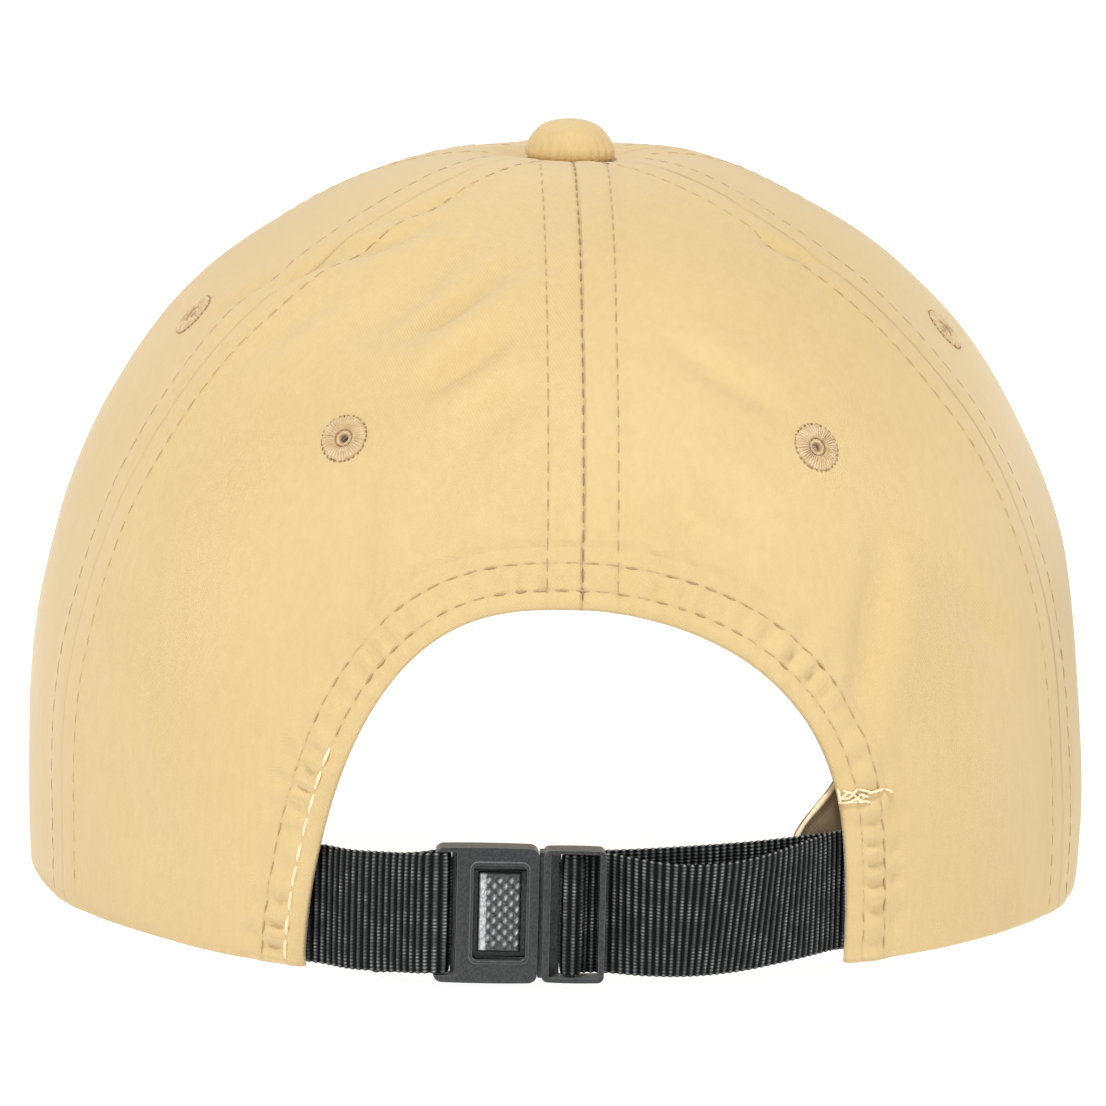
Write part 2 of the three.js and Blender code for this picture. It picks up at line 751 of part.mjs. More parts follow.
function addButton() {
  const base = CROWN_HEIGHT - DIMPLE_DEPTH + 0.6;
  const cover = [
    [0, 6.2], [3.2, 5.9], [5.4, 4.8], [6.6, 3.0], [6.7, 1.8], [6.2, 1.1], [5.4, 1.0],
    [5.4, 0.3], [6.8, 0.3], [7.5, 1.6], [7.3, 3.4], [6.0, 5.6], [3.5, 6.7], [0, 7.0],
  ];
  addMesh('button_cover', turned(cover, 28, base), 'fabric');
  const core = [
    [0, -4.6], [1.6, -4.6], [1.6, 0.3], [5.0, 0.3], [5.0, 1.3], [6.0, 1.4],
    [6.3, 1.9], [6.2, 2.8], [5.1, 4.5], [3.0, 5.6], [0, 5.9],
  ];
  addMesh('button_core', turned(core, 20, base), 'metal');
  const plate = [[1.9, -3.8], [8, -3.8], [8, -2.9], [1.9, -2.9], [1.9, -3.8]];
  addMesh('button_back_plate', turned(plate, 20, base), 'metal');
}

// ---------------------------------------------------------------- strap

function insideRim(angleInDegrees, depth) {
  const point = crownPoint(angleInDegrees * DEGREE, STRAP_Z, depth);
  return [point.x, point.y];
}

function addStrapLeft() {
  const front = BUCKLE_Y + 1.9;
  const back = BUCKLE_Y - 1.9;
  const path = [
    insideRim(37, 3.2), insideRim(34, 3.2), insideRim(31, 3.2), insideRim(27.8, 3.2),
    [36.4, 89.8], [30.5, 94.6], [25.6, 99.4], [23.6, front], [21.0, front],
    [20.45, BUCKLE_Y + 0.9], [20.45, BUCKLE_Y - 0.9], [21.0, back],
    [23.8, back], [27.2, 94.4], [32.4, 90.4],
  ];
  addMesh('strap_left', ribbon(path, STRAP_Z), 'webbing');
}

function addStrapRight() {
  const path = [
    [...insideRim(-36.5, 4.4), 1.2], [...insideRim(-33, 4.4), 1.2], [...insideRim(-29.5, 4.4), 1.2],
    [-36, 87.4, 1.0], [-28, 91.6, 0.6], [-18, 94.6, 0.3], [-8, 96.2],
    [1.5, BUCKLE_Y - 2.6], [2.6, BUCKLE_Y - 2.2], [2.95, BUCKLE_Y - 1.2], [2.95, BUCKLE_Y + 1.0],
    [2.3, BUCKLE_Y + 1.7], [-1.1, BUCKLE_Y + 1.7],
    [-1.75, BUCKLE_Y + 1.0], [-1.75, BUCKLE_Y - 0.2], [-2.5, BUCKLE_Y - 0.95],
    [-5.4, BUCKLE_Y - 0.95], [-10, 98.9], [-18, 98.4], [-27, 95.8, 0.6],
    [-35, 91.0, 1.2], [-40.5, 86.2, 1.6], [...insideRim(-29.5, 2.9), 1.6],
    [...insideRim(-34, 2.9), 1.6], [...insideRim(-39, 2.9), 1.6], [...insideRim(-43.5, 2.9), 1.6],
  ];
  addMesh('strap_right', ribbon(path, STRAP_Z), 'webbing');
}

// ---------------------------------------------------------------- buckle

function addSocket() {
  const y0 = BUCKLE_Y - SOCKET_THICKNESS / 2;
  const y1 = BUCKLE_Y + SOCKET_THICKNESS / 2;
  const half = BUCKLE_HEIGHT / 2;
  const shell = roundedPlate(SOCKET_RIGHT, SOCKET_LEFT, y0, y1, STRAP_Z - half, STRAP_Z + half, 1.4, 0.4);
  const bay = [STRAP_Z - 10.3, STRAP_Z + 10.3];
  const parts = [
    block(SOCKET_RIGHT - 1, 18.4, BUCKLE_Y - 1.15, BUCKLE_Y + 1.15, STRAP_Z - 8.6, STRAP_Z + 8.6),
    block(8.2, 16.8, BUCKLE_Y, y1 + 1, STRAP_Z - 7.5, STRAP_Z + 8.1),
    block(19.5, 21.2, y0 - 1, y1 + 1, ...bay),
    block(21.1, SOCKET_LEFT + 1, BUCKLE_Y + 1.1, y1 + 1, ...bay),
    block(21.1, SOCKET_LEFT + 1, y0 - 1, BUCKLE_Y - 1.1, ...bay),
  ];
  let solid = shell;
  parts.forEach((part) => {
    solid = solid.subtract(part);
  });
  addMesh('buckle_socket', fromManifold(solid), 'plastic');
}

function addPlug() {
  const y0 = BUCKLE_Y - PLUG_THICKNESS / 2;
  const y1 = BUCKLE_Y + PLUG_THICKNESS / 2;
  const half = BUCKLE_HEIGHT / 2 - 0.3;
  const bay = [STRAP_Z - 10.3, STRAP_Z + 10.3];
  let solid = roundedPlate(PLUG_RIGHT, PLUG_LEFT, y0, y1, STRAP_Z - half, STRAP_Z + half, 1.0, 0.35);
  const cuts = [
    block(2.1, 3.8, y0 - 1, y1 + 1, ...bay),
    block(-3.7, -0.9, y0 - 1, y1 + 1, ...bay),
    block(-1.0, 2.2, y0 - 1, BUCKLE_Y - 1.1, ...bay),
    block(-1.0, 2.2, BUCKLE_Y + 0.9, y1 + 1, ...bay),
    block(PLUG_RIGHT - 1, -3.6, y0 - 1, BUCKLE_Y - 0.1, ...bay),
  ];
  cuts.forEach((part) => {
    solid = solid.subtract(part);
  });
  [-1, 1].forEach((side) => {
    const low = STRAP_Z + side * 7.3;
    const prong = block(PLUG_LEFT - 0.5, 17.6, BUCKLE_Y - 0.9, BUCKLE_Y + 0.9, low, low + side * 1.0);
    solid = solid.add(prong);
  });
  addMesh('buckle_plug', fromManifold(solid), 'plastic');
}

function addLatch() {
  const arm = block(5.9, 17.2, BUCKLE_Y + 0.15, BUCKLE_Y + 0.95, STRAP_Z - 7.0, STRAP_Z + 7.0);
  const pad = roundedPlate(9.0, 16.0, BUCKLE_Y + 0.5, BUCKLE_Y + 1.9, STRAP_Z - 6.3, STRAP_Z + 6.9, 0.7, 0.2);
  addMesh('buckle_latch', fromManifold(arm.add(pad)), 'plastic');
}

// ---------------------------------------------------------------- build

addPanels();
addBuckram();
addTapes();
addArchFacing();
addSweatband();
addTailPocket();
addVisor();
addEyelets();
addButton();
addStrapLeft();
addStrapRight();
addSocket();
addPlug();
addLatch();

// The record's origin is the middle of the object's footprint, on the table.
const bounds = new THREE.Box3().setFromObject(cap);
cap.position.y = -(bounds.min.y + bounds.max.y) / 2;

export default cap;
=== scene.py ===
import math

import bpy
import bmesh
import numpy as np
from mathutils import Matrix, Vector
from mathutils.geometry import delaunay_2d_cdt


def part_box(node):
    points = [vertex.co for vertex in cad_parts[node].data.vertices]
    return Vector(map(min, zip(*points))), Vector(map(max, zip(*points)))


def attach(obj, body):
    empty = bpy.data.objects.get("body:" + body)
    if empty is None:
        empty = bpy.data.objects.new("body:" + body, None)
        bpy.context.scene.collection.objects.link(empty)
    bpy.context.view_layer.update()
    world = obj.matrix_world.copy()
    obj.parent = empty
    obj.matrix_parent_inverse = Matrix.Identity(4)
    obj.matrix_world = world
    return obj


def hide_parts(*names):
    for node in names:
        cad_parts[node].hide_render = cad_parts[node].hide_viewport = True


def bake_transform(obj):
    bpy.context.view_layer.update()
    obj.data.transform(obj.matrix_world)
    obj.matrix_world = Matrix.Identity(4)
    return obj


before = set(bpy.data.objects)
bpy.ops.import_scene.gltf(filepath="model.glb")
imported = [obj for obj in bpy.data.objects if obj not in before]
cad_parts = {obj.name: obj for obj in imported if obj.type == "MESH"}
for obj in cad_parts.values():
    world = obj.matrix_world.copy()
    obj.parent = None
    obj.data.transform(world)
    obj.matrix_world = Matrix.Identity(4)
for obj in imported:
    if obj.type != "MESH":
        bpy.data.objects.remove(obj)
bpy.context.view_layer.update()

# The cap's own frame is in millimetres with the crown's axis at x = y = 0; the row frame is in
# metres with the cap's box centred. The button's core gives the shift between them.
CORE_LOW, CORE_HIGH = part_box("button_core")
SHIFT_Y = (CORE_LOW[1] + CORE_HIGH[1]) * 500.0
rng = np.random.default_rng(7)
TAU = 2 * math.pi

# Crown surface
HALF_WIDTH, HALF_DEPTH, CROWN_HEIGHT = 90.0, 100.0, 126.0
MEAN_AXIS = (HALF_WIDTH + HALF_DEPTH) / 2
PLAN_EXPONENT, HEIGHT_EXPONENT = 1.935, 2.99
RIM_TUCK, RIM_TUCK_HEIGHT = 0.013, 39.0
DIMPLE_DEPTH, DIMPLE_RADIUS = 4.0, 15.0
TOP_HOLE_RADIUS = 2.6
CLOTH_THICKNESS = 0.9
INNER_SHARE = 0.55  # of the outer face's relief, seen on the inner face

# Relief of the cloth
SEAM_STAND, HEM_STAND = 0.34, 0.46
SEAM_SUNK, REAR_SEAM_SUNK, ROW_SUNK = 0.16, 0.19, 0.15
CREASE_SCALE = 2.6

# Seams: degrees from the rear
REAR_SIDE_SEAM, REAR_SEAM_LEAN, FRONT_SIDE_SEAM = 69.5, 23.0, 116.0
ROW_OFFSET = 5.7

# Arch: half width and the exponents across and up, for each side
ARCH_HEIGHT = 61.0
ARCH_LEFT, ARCH_RIGHT = (43.75, 2.9, 1.9), (45.0, 1.8, 3.5)
RIGHT_RIM_RISE = 2.0
HEM_ROWS = (3.0, 7.5)
HEM_WIDTH = 8.6

# Visor
VISOR_LENGTH, VISOR_HALF_WIDTH, VISOR_WIDEST_Y, VISOR_EXPONENT = 70.0, 88.0, -82.0, 2.3
VISOR_BEND_RADIUS, VISOR_SLOPE, VISOR_THICKNESS = 120.0, 0.09, 4.0

# Eyelets: degrees from the rear, and height
EYELETS = {"back": (31.0, 84.7), "side": (76.0, 97.5), "front": (150.0, 98.0)}
STRAP_Z = 12.2
BUCKLE_Y = 99.1


# ------------------------------------------------------------------ small maths

def smooth(low, high, value):
    t = np.clip((value - low) / (high - low), 0.0, 1.0)
    return t * t * (3 - 2 * t)


def bump(value, centre, width):
    return np.exp(-(((value - centre) / width) ** 2))


def unit(v):
    return v / np.maximum(np.linalg.norm(v, axis=-1, keepdims=True), 1e-12)


def run_along(line):
    """Distance along a line of points, from its start to each of them."""
    return np.concatenate([[0], np.cumsum(np.linalg.norm(np.diff(line, axis=0), axis=1))])


def follow(at, run, line):
    """The points of a line at distances along it."""
    return np.stack([np.interp(at, run, line[:, k]) for k in range(line.shape[1])], -1)


def wrapped(angle):
    return (angle + math.pi) % TAU - math.pi


def wave_table(shortest, longest):
    """Twelve waves in random directions, each with a wave vector and a phase."""
    return [(unit(rng.normal(size=3)) * TAU / rng.uniform(shortest, longest), rng.uniform(0, TAU))
            for _ in range(12)]


WAVES = wave_table(26, 70)
RIPPLES = wave_table(7, 15)


def waves(points, table):
    return sum(np.sin(points @ k + phase) for k, phase in table) / len(table) ** 0.5


def wander(s, seed, scale):
    """A smooth random line through distance s, about -1 to 1."""
    r = np.random.default_rng(seed)
    return sum(np.sin(s * TAU / (scale * r.uniform(0.7, 1.6)) + r.uniform(0, TAU)) for _ in range(4)) / 2.2


# ------------------------------------------------------------------ crown surface

def radius_at(z):
    up = np.clip(z / CROWN_HEIGHT, 0, 1)
    tuck = np.maximum(0, 1 - z / RIM_TUCK_HEIGHT)
    return (1 - up ** HEIGHT_EXPONENT) ** (1 / PLAN_EXPONENT) * (1 - RIM_TUCK * tuck * tuck)


TOP_Z = CROWN_HEIGHT * (1 - (TOP_HOLE_RADIUS / HALF_WIDTH) ** PLAN_EXPONENT) ** (1 / HEIGHT_EXPONENT)
Z_TABLE = TOP_Z * np.sin(np.linspace(0, 1, 4000) * math.pi / 2)
S_TABLE = run_along(np.stack([MEAN_AXIS * radius_at(Z_TABLE), Z_TABLE], -1))
S_TOP = S_TABLE[-1]
RISE_TABLE = np.gradient(S_TABLE, Z_TABLE)
ANGLE_TABLE = np.linspace(0, math.pi, 2001)
_step = np.hypot(HALF_WIDTH * np.cos(ANGLE_TABLE), HALF_DEPTH * np.sin(ANGLE_TABLE))
ROUND_TABLE = np.concatenate([[0], np.cumsum((_step[1:] + _step[:-1]) / 2 * np.diff(ANGLE_TABLE))])


def height_of(s):
    return np.interp(s, S_TABLE, Z_TABLE)


def climb_of(z):
    return np.interp(z, Z_TABLE, S_TABLE)


def climb_at_radius(radius):
    """How far up the cloth the crown has narrowed to a radius."""
    return np.interp(-radius, -MEAN_AXIS * radius_at(Z_TABLE), S_TABLE)


def pace_at(angle, z):
    """Millimetres round the crown for one radian."""
    return radius_at(z) * np.hypot(HALF_WIDTH * np.cos(angle), HALF_DEPTH * np.sin(angle))


def crown(angle, z):
    r = radius_at(z)
    x, y = HALF_WIDTH * r * np.sin(angle), HALF_DEPTH * r * np.cos(angle)
    return np.stack([x, y, z - DIMPLE_DEPTH * np.exp(-(x * x + y * y) / DIMPLE_RADIUS**2)], -1)


def crown_normal(angle, z):
    around = crown(angle + 0.01, z) - crown(angle - 0.01, z)
    up = crown(angle, np.minimum(z + 0.2, CROWN_HEIGHT - 0.01)) - crown(angle, np.maximum(z - 0.2, 0))
    return unit(np.cross(up, around))


def rear_side_seam(z):
    return np.radians(REAR_SIDE_SEAM - REAR_SEAM_LEAN * (z / CROWN_HEIGHT) ** 3)


SEAMS = {
    "rear": lambda z: 0.0 * z,
    "rear_left": rear_side_seam,
    "rear_right": lambda z: -rear_side_seam(z),
    "front_left": lambda z: math.radians(FRONT_SIDE_SEAM) + 0.0 * z,
    "front_right": lambda z: -math.radians(FRONT_SIDE_SEAM) + 0.0 * z,
    "front": lambda z: math.pi + 0.0 * z,
}


def seam_distance(name, angle, z):
    """Distance from a seam along the cloth, positive towards growing angles."""
    seam = SEAMS[name](z)
    pace = pace_at(seam, z)
    lean = pace * (SEAMS[name](z + 0.05) - SEAMS[name](z - 0.05)) * 10 / np.interp(z, Z_TABLE, RISE_TABLE)
    return wrapped(angle - seam) * pace / np.sqrt(1 + lean * lean)


def arch_edge(turn):
    c, s = np.cos(turn), np.maximum(np.sin(turn), 0)
    half, across, up = (np.where(c > 0, a, b) for a, b in zip(ARCH_LEFT, ARCH_RIGHT))
    return half * np.sign(c) * np.abs(c) ** (2 / across), ARCH_HEIGHT * s ** (2 / up)


def angle_at(x, z, depth=0.0):
    return np.arcsin(np.clip(x / (HALF_WIDTH * radius_at(z) - depth), -1, 1))


def flatten(angle, z):
    """The rear cloth unrolled: across and up, in millimetres."""
    away = np.interp(np.abs(angle), ANGLE_TABLE, ROUND_TABLE) * np.sign(angle)
    return np.stack([away * radius_at(z), climb_of(z)], -1)


def unflatten(flat):
    z = height_of(flat[..., 1])
    away = flat[..., 0] / radius_at(z)
    return np.interp(np.abs(away), ROUND_TABLE, ANGLE_TABLE) * np.sign(away), z


def arch_line():
    """The arch's edge in the unrolled cloth, as points at equal steps."""
    x, z = arch_edge(np.linspace(0, math.pi, 6001))
    line = flatten(angle_at(x, z), z)
    run = run_along(line)
    return follow(np.linspace(0, run[-1], 2401), run, line)


ARCH = arch_line()
ARCH_AHEAD = unit(np.gradient(ARCH, axis=0))
ARCH_OUT = np.stack([ARCH_AHEAD[:, 1], -ARCH_AHEAD[:, 0]], -1)
ARCH_OUT[0], ARCH_OUT[-1] = (1, 0), (-1, 0)
ARCH_RUN = run_along(ARCH)
ARCH_END = ARCH_RUN[-1] - RIGHT_RIM_RISE


def arch_at(places):
    """Points on the arch's edge in the unrolled cloth, and the directions out of it."""
    return follow(places, ARCH_RUN, ARCH), unit(follow(places, ARCH_RUN, ARCH_OUT))


def arch_distance(angle, z):
    """Distance outside the arch's edge, and the place along it, both in millimetres."""
    flat = flatten(angle, z)
    distance, along = np.full(len(flat), 99.0), np.zeros(len(flat))
    near = np.where((np.abs(flat[:, 0]) < 75) & (flat[:, 1] < 95) & (np.abs(angle) < 1.6))[0]
    coarse = 4
    for part in np.array_split(near, max(1, len(near) // 4000)):
        if len(part) == 0:
            continue
        gap = ((flat[part, None, :] - ARCH[None, ::coarse]) ** 2).sum(-1)
        nearest = np.argmin(gap, 1) * coarse
        offset = flat[part] - ARCH[nearest]
        side = np.sign((offset * ARCH_OUT[nearest]).sum(-1))
        slide = (offset * ARCH_AHEAD[nearest]).sum(-1)
        straight = np.sqrt(np.maximum((offset**2).sum(-1) - slide**2, 0))
        beyond = (nearest == 0) | (nearest == len(ARCH) - 1)
        distance[part] = side * np.where(beyond, np.abs(offset[:, 0]), straight)
        along[part] = ARCH_RUN[nearest] + slide
    return distance, along


# Soft creases: start and end (angle in degrees, height), half width, depth, and how far the
# cloth stands up beside them.
CREASES = [
    ((24.5, 114.5), (38, 98.4), 5.5, 0.9, 0.25),
    ((12.5, 112.6), (29.5, 98.8), 3.2, 0.9, 0.5),
    ((11, 103), (23.5, 92), 2.6, 0.8, 0.45),
    ((27, 81), (25.2, 56), 3.0, 0.45, 0.45),
    ((-9.5, 80), (-14, 69.7), 2.6, 0.45, 0.4),
    ((34.5, 117.7), (54.5, 107.3), 2.4, 0.5, 0.2),
    ((36, 121), (50, 115), 1.9, 0.4, 0.4),
    ((50, 112.5), (59, 103), 2.0, 0.45, 0.35),
    ((60, 108), (69, 97), 2.2, 0.4, 0.3),
    ((43, 106), (52, 94), 2.6, 0.35, 0.3),
    ((19, 108), (25, 102.6), 2.0, 0.4, 0.2),
    ((7, 96), (16, 86), 3.4, 0.4, 0.3),
    ((-11.5, 103), (-29, 89.6), 2.8, 0.6, 0.35),
    ((-42.5, 115.5), (-53.5, 109.5), 1.8, 0.5, 0.2),
    ((-13, 82), (-21, 74), 3.6, 0.55, 0.4),
    ((-38.5, 72), (-30.5, 40), 3.2, 0.8, 0.5),
    ((-45, 63), (-58.5, 45.8), 4.0, 0.6, 0.3),
    ((14, 88), (21, 70), 6.0, 0.4, 0.1),
    ((100, 70), (128, 52), 6.0, 0.5, 0.2),
    ((-104, 84), (-120, 60), 6.0, 0.5, 0.2),
    ((60, 30), (48, 12), 7.0, 0.4, 0.1),
]


def crease_relief(points):
    total = np.zeros(len(points))
    knots, fine = np.arange(9), np.linspace(0, 8, 65)
    for (a0, z0), (a1, z1), width, depth, stand in CREASES:
        angles, heights = np.radians(a0 + (a1 - a0) * knots / 8), z0 + (z1 - z0) * knots / 8
        line = crown(angles, heights)
        side = np.cross(crown_normal(angles, heights), unit(np.gradient(line, axis=0)))
        reach = np.linalg.norm(line[8] - line[0]) + 5 * width
        near = np.where(np.linalg.norm(points - line[4], axis=1) < reach)[0]
        if len(near) == 0:
            continue
        dense = follow(fine, knots, line)
        gap = np.linalg.norm(points[near, None] - dense[None], axis=-1)
        at = np.argmin(gap, 1)
        offset = points[near] - dense[at]
        across = np.sign((offset * side[np.round(fine[at]).astype(int)]).sum(-1)) * gap.min(1)
        fade = np.sin(math.pi * np.clip(fine[at] / 8, 0.0, 1.0)) ** 0.8 + 0.02
        ridge = stand * bump(across, 1.9 * width, 1.3 * width)
        total[near] += fade * depth * (ridge - bump(across, 0, width))
    return total


def relief(angle, z):
    """How far the outer face stands off the smooth crown, and how deep in a seam it is."""
    points, climb = crown(angle, z), climb_of(z)
    height = 0.36 * waves(points, WAVES) + 0.03 * waves(points, RIPPLES)
    height += CREASE_SCALE * crease_relief(points)
    groove, plateau = np.zeros(len(angle)), np.zeros(len(angle))
    hem, along = arch_distance(angle, z)
    for k, name in enumerate(SEAMS):
        d = seam_distance(name, angle, z)
        away = np.abs(d)
        plateau = np.maximum(plateau, SEAM_STAND * (1 - smooth(5.8, 7.6, away)))
        groove += (REAR_SEAM_SUNK if name == "rear" else SEAM_SUNK) * bump(away, 0, 0.4)
        groove += ROW_SUNK * bump(away, ROW_OFFSET, 0.45)
        beat = climb * TAU / 4.3 + 1.5 * wander(climb, 10 * k + 1, 19) + np.where(d > 0, 0.0, 2.1)
        pucker = 0.5 + 0.5 * wander(climb, 10 * k + 3, 24)
        height += 0.12 * pucker * bump(away, 3.2, 2.6) * np.sin(beat)
        height += 0.1 * pucker * bump(away, 8.2, 2.2) * np.sin(0.8 * beat + 1)
    on_hem = 1 - smooth(HEM_WIDTH - 0.6, HEM_WIDTH + 0.9, hem)
    plateau = np.maximum(plateau, HEM_STAND * on_hem)
    for row in HEM_ROWS:
        groove += ROW_SUNK * bump(hem, row, 0.5)
    beat = along * TAU / 4.1 + 2.2 * wander(along, 91, 27)
    gather = 0.72 + 0.28 * wander(along, 92, 31)
    height += 0.75 * gather * bump(hem, 5.2, 1.9) * np.sin(beat)
    height += 0.2 * gather * bump(hem, 1.5, 1.1) * np.sin(1.3 * beat + 2)
    height += 0.4 * gather * bump(hem, 10.2, 2.2) * np.sin(0.7 * beat)
    height -= 0.55 * (1 - smooth(0, 1.0, hem)) * (hem < 5)
    low = 1 - smooth(0, 3.2, climb)
    height -= 0.6 * low * low
    calm = smooth(5.0, 12.0, HALF_WIDTH * radius_at(z))
    # The groove depth, the second value, is also the mask for painted shade in the seams and hem rows.
    return calm * (height + plateau - groove), calm * groove


def outer_skin(angle, z, lift=0.0):
    off, _ = relief(angle, z)
    return crown(angle, z) + crown_normal(angle, z) * (off + lift)[:, None]


# ------------------------------------------------------------------ visor surface

def visor_drop(x, y):
    return -x * x / (2 * VISOR_BEND_RADIUS) + VISOR_SLOPE * (y + HALF_DEPTH)


VISOR_END = crown(np.array([math.radians(FRONT_SIDE_SEAM)]), np.array([12.0]))[0]
VISOR_FRONT_Y = -HALF_DEPTH - VISOR_LENGTH


def visor_outline(t):
    t = np.asarray(t, float)
    side = np.where(t < 0.5, 1.0, -1.0)
    s = 1 - np.abs(2 * t - 1)
    rear = 0.24  # the share of each side that lies behind the widest place
    y0 = VISOR_END[1] + (VISOR_WIDEST_Y - VISOR_END[1]) * s / rear
    back = (y0 - VISOR_WIDEST_Y) / (VISOR_END[1] - VISOR_WIDEST_Y)
    x0 = VISOR_HALF_WIDTH - (VISOR_HALF_WIDTH - VISOR_END[0]) * back * back
    turn = np.clip((s - rear) / (1 - rear), 0, 1) * math.pi / 2
    x1 = VISOR_HALF_WIDTH * np.cos(turn) ** (2 / VISOR_EXPONENT)
    y1 = VISOR_WIDEST_Y - (VISOR_WIDEST_Y - VISOR_FRONT_Y) * np.sin(turn) ** (2 / VISOR_EXPONENT)
    on_side = s < rear
    return np.where(on_side, x0, x1) * side, np.where(on_side, y0, y1)


VISOR_LIFT = VISOR_THICKNESS - min(0.0, float(visor_drop(*visor_outline(np.linspace(0, 1, 201))).min()))


def visor_top(x, y):
    return VISOR_LIFT + visor_drop(x, y)


def rim_height(angle, depth=0.0):
    away = np.abs(angle)
    on_visor = smooth(math.radians(75), math.radians(FRONT_SIDE_SEAM), away)
    x, y = (HALF_WIDTH - depth) * np.sin(away), (HALF_DEPTH - depth) * np.cos(away)
    raised = RIGHT_RIM_RISE * smooth(0.3, 0.48, -angle) * (1 - smooth(1.6, 2.0, -angle))
    return on_visor * (visor_top(x, y) - 0.05) + raised


def rim_climb(name):
    """How far up the cloth the rim is at a seam."""
    return climb_of(rim_height(SEAMS[name](0.0)))


# ------------------------------------------------------------------ mesh helpers

def listed(faces):
    return faces if isinstance(faces, list) else faces.tolist()


def piece(name, points, faces, material, body="cap", instead_of=(), slot="crown_fabric", uv=None, shade=None):
    """A mesh object from points in the cap's frame, riding on a body."""
    points = np.asarray(points, float)
    rows = np.stack([points[:, 0], points[:, 1] + SHIFT_Y, points[:, 2]], -1) * 0.001
    mesh = bpy.data.meshes.new(name)
    mesh.from_pydata(rows.tolist(), [], listed(faces))
    corners = np.zeros(len(mesh.loops), np.int32)
    mesh.loops.foreach_get("vertex_index", corners)
    if uv is not None:
        layer = mesh.uv_layers.new(name="cloth")
        layer.data.foreach_set("uv", (np.asarray(uv, np.float32)[corners] * 0.01).ravel())
    if shade is not None:
        attribute = mesh.attributes.new("painted_shading_mask", "FLOAT", "POINT")
        attribute.data.foreach_set("value", np.asarray(shade, np.float32))
    bm = bmesh.new()
    bm.from_mesh(mesh)
    bmesh.ops.recalc_face_normals(bm, faces=bm.faces)
    bm.to_mesh(mesh)
    bm.free()
    mesh.materials.append(material)
    mesh.shade_smooth()
    obj = bpy.data.objects.new(name, mesh)
    bpy.context.scene.collection.objects.link(obj)
    if body:
        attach(obj, body)
    if instead_of:
        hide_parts(*instead_of)
    return obj


def grid_faces(columns, rows, closed_columns=False, closed_rows=False):
    i = np.arange(columns if closed_columns else columns - 1)
    j = np.arange(rows if closed_rows else rows - 1)
    i, j = np.meshgrid(i, j, indexing="ij")
    i2, j2 = (i + 1) % columns, (j + 1) % rows
    return np.stack([i * rows + j, i2 * rows + j, i2 * rows + j2, i * rows + j2], -1).reshape(-1, 4)


def bar_faces(columns, rows):
    """Faces of a bar made of rings, closed round every ring and at both ends."""
    last = (columns - 1) * rows
    ends = [list(range(rows))[::-1], [last + k for k in range(rows)]]
    return grid_faces(columns, rows, closed_rows=True).tolist() + ends


def thicken(outer, inner, faces):
    """One closed thin solid from matching outer and inner points, with walls at every free edge."""
    count = len(outer)
    front = listed(faces)
    free = {}
    for f in front:
        for a, b in zip(f, f[1:] + f[:1]):
            if free.pop((b, a), None) is None:
                free[(a, b)] = True
    back = [[v + count for v in reversed(f)] for f in front]
    walls = [[b, a, a + count, b + count] for a, b in free]
    return np.concatenate([outer, inner]), front + back + walls


def drop_unused(points, faces, *others):
    used = np.unique(np.concatenate([np.ravel(f) for f in faces]))
    new = np.full(len(points), -1)
    new[used] = np.arange(len(used))
    kept = [[int(new[v]) for v in f] for f in faces]
    return (points[used], kept, *[o[used] for o in others])


def tube(points, radius, sides, across):
    """Rings round a line of points; across is a direction that the line never takes."""
    tangent = unit(np.gradient(points, axis=0))
    side = unit(np.cross(tangent, across))
    up = np.cross(side, tangent)
    turn = np.arange(sides) * TAU / sides
    ring = side[:, None] * np.cos(turn)[:, None] + up[:, None] * np.sin(turn)[:, None]
    return (points[:, None] + radius[:, None, None] * ring).reshape(-1, 3), bar_faces(len(points), sides)


def stitches(starts, ends, normals, thickness, sunk=0.35, sides=6):
    """Small raised capsules from starts to ends, lying on a surface with those normals."""
    t = np.array([0.0, 0.06, 0.22, 0.5, 0.78, 0.94, 1.0])
    fat = np.array([0.25, 0.7, 0.97, 1.0, 0.97, 0.7, 0.25]) * thickness / 2
    arc = np.array([-0.55, -0.2, 0.1, 0.2, 0.1, -0.2, -0.55]) * thickness * sunk * 2
    side = np.cross(normals, unit(ends - starts))
    turn = (np.arange(sides) + 0.5) * TAU / sides
    ring = side[:, None, None] * np.cos(turn)[:, None] + normals[:, None, None] * np.sin(turn)[:, None]
    line = starts[:, None] + (ends - starts)[:, None] * t[:, None] + normals[:, None] * arc[:, None]
    points = line[:, :, None] + ring * fat[:, None, None]
    one, per = bar_faces(len(t), sides), len(t) * sides
    faces = [[v + n * per for v in f] for n in range(len(starts)) for f in one]
    return points.reshape(-1, 3), faces


def merge(parts):
    points, faces, base = [], [], 0
    for p, f in parts:
        points.append(p)
        faces += [[v + base for v in face] for face in listed(f)]
        base += len(p)
    return np.concatenate(points), faces


def dashes(run, length, gap, seed, wobble=0.12):
    """Starts and ends of stitches along a run, with small differences between them."""
    r = np.random.default_rng(seed)
    count = int(run / (length + gap))
    at = np.arange(count) * (length + gap) + gap / 2
    return at + r.normal(0, wobble * gap, count), at + length + r.normal(0, wobble * gap, count)


def row_on_line(line, normals, length, gap, seed, thickness, sides=6):
    """Stitches along a line of points with those normals."""
    run = run_along(line)
    start, end = dashes(run[-1], length, gap, seed)
    return stitches(follow(start, run, line), follow(end, run, line), follow(start, run, normals),
                    thickness, sides=sides)


# ------------------------------------------------------------------ materials

def rgba(colour):
    return (*colour, 1.0) if isinstance(colour, tuple) else colour


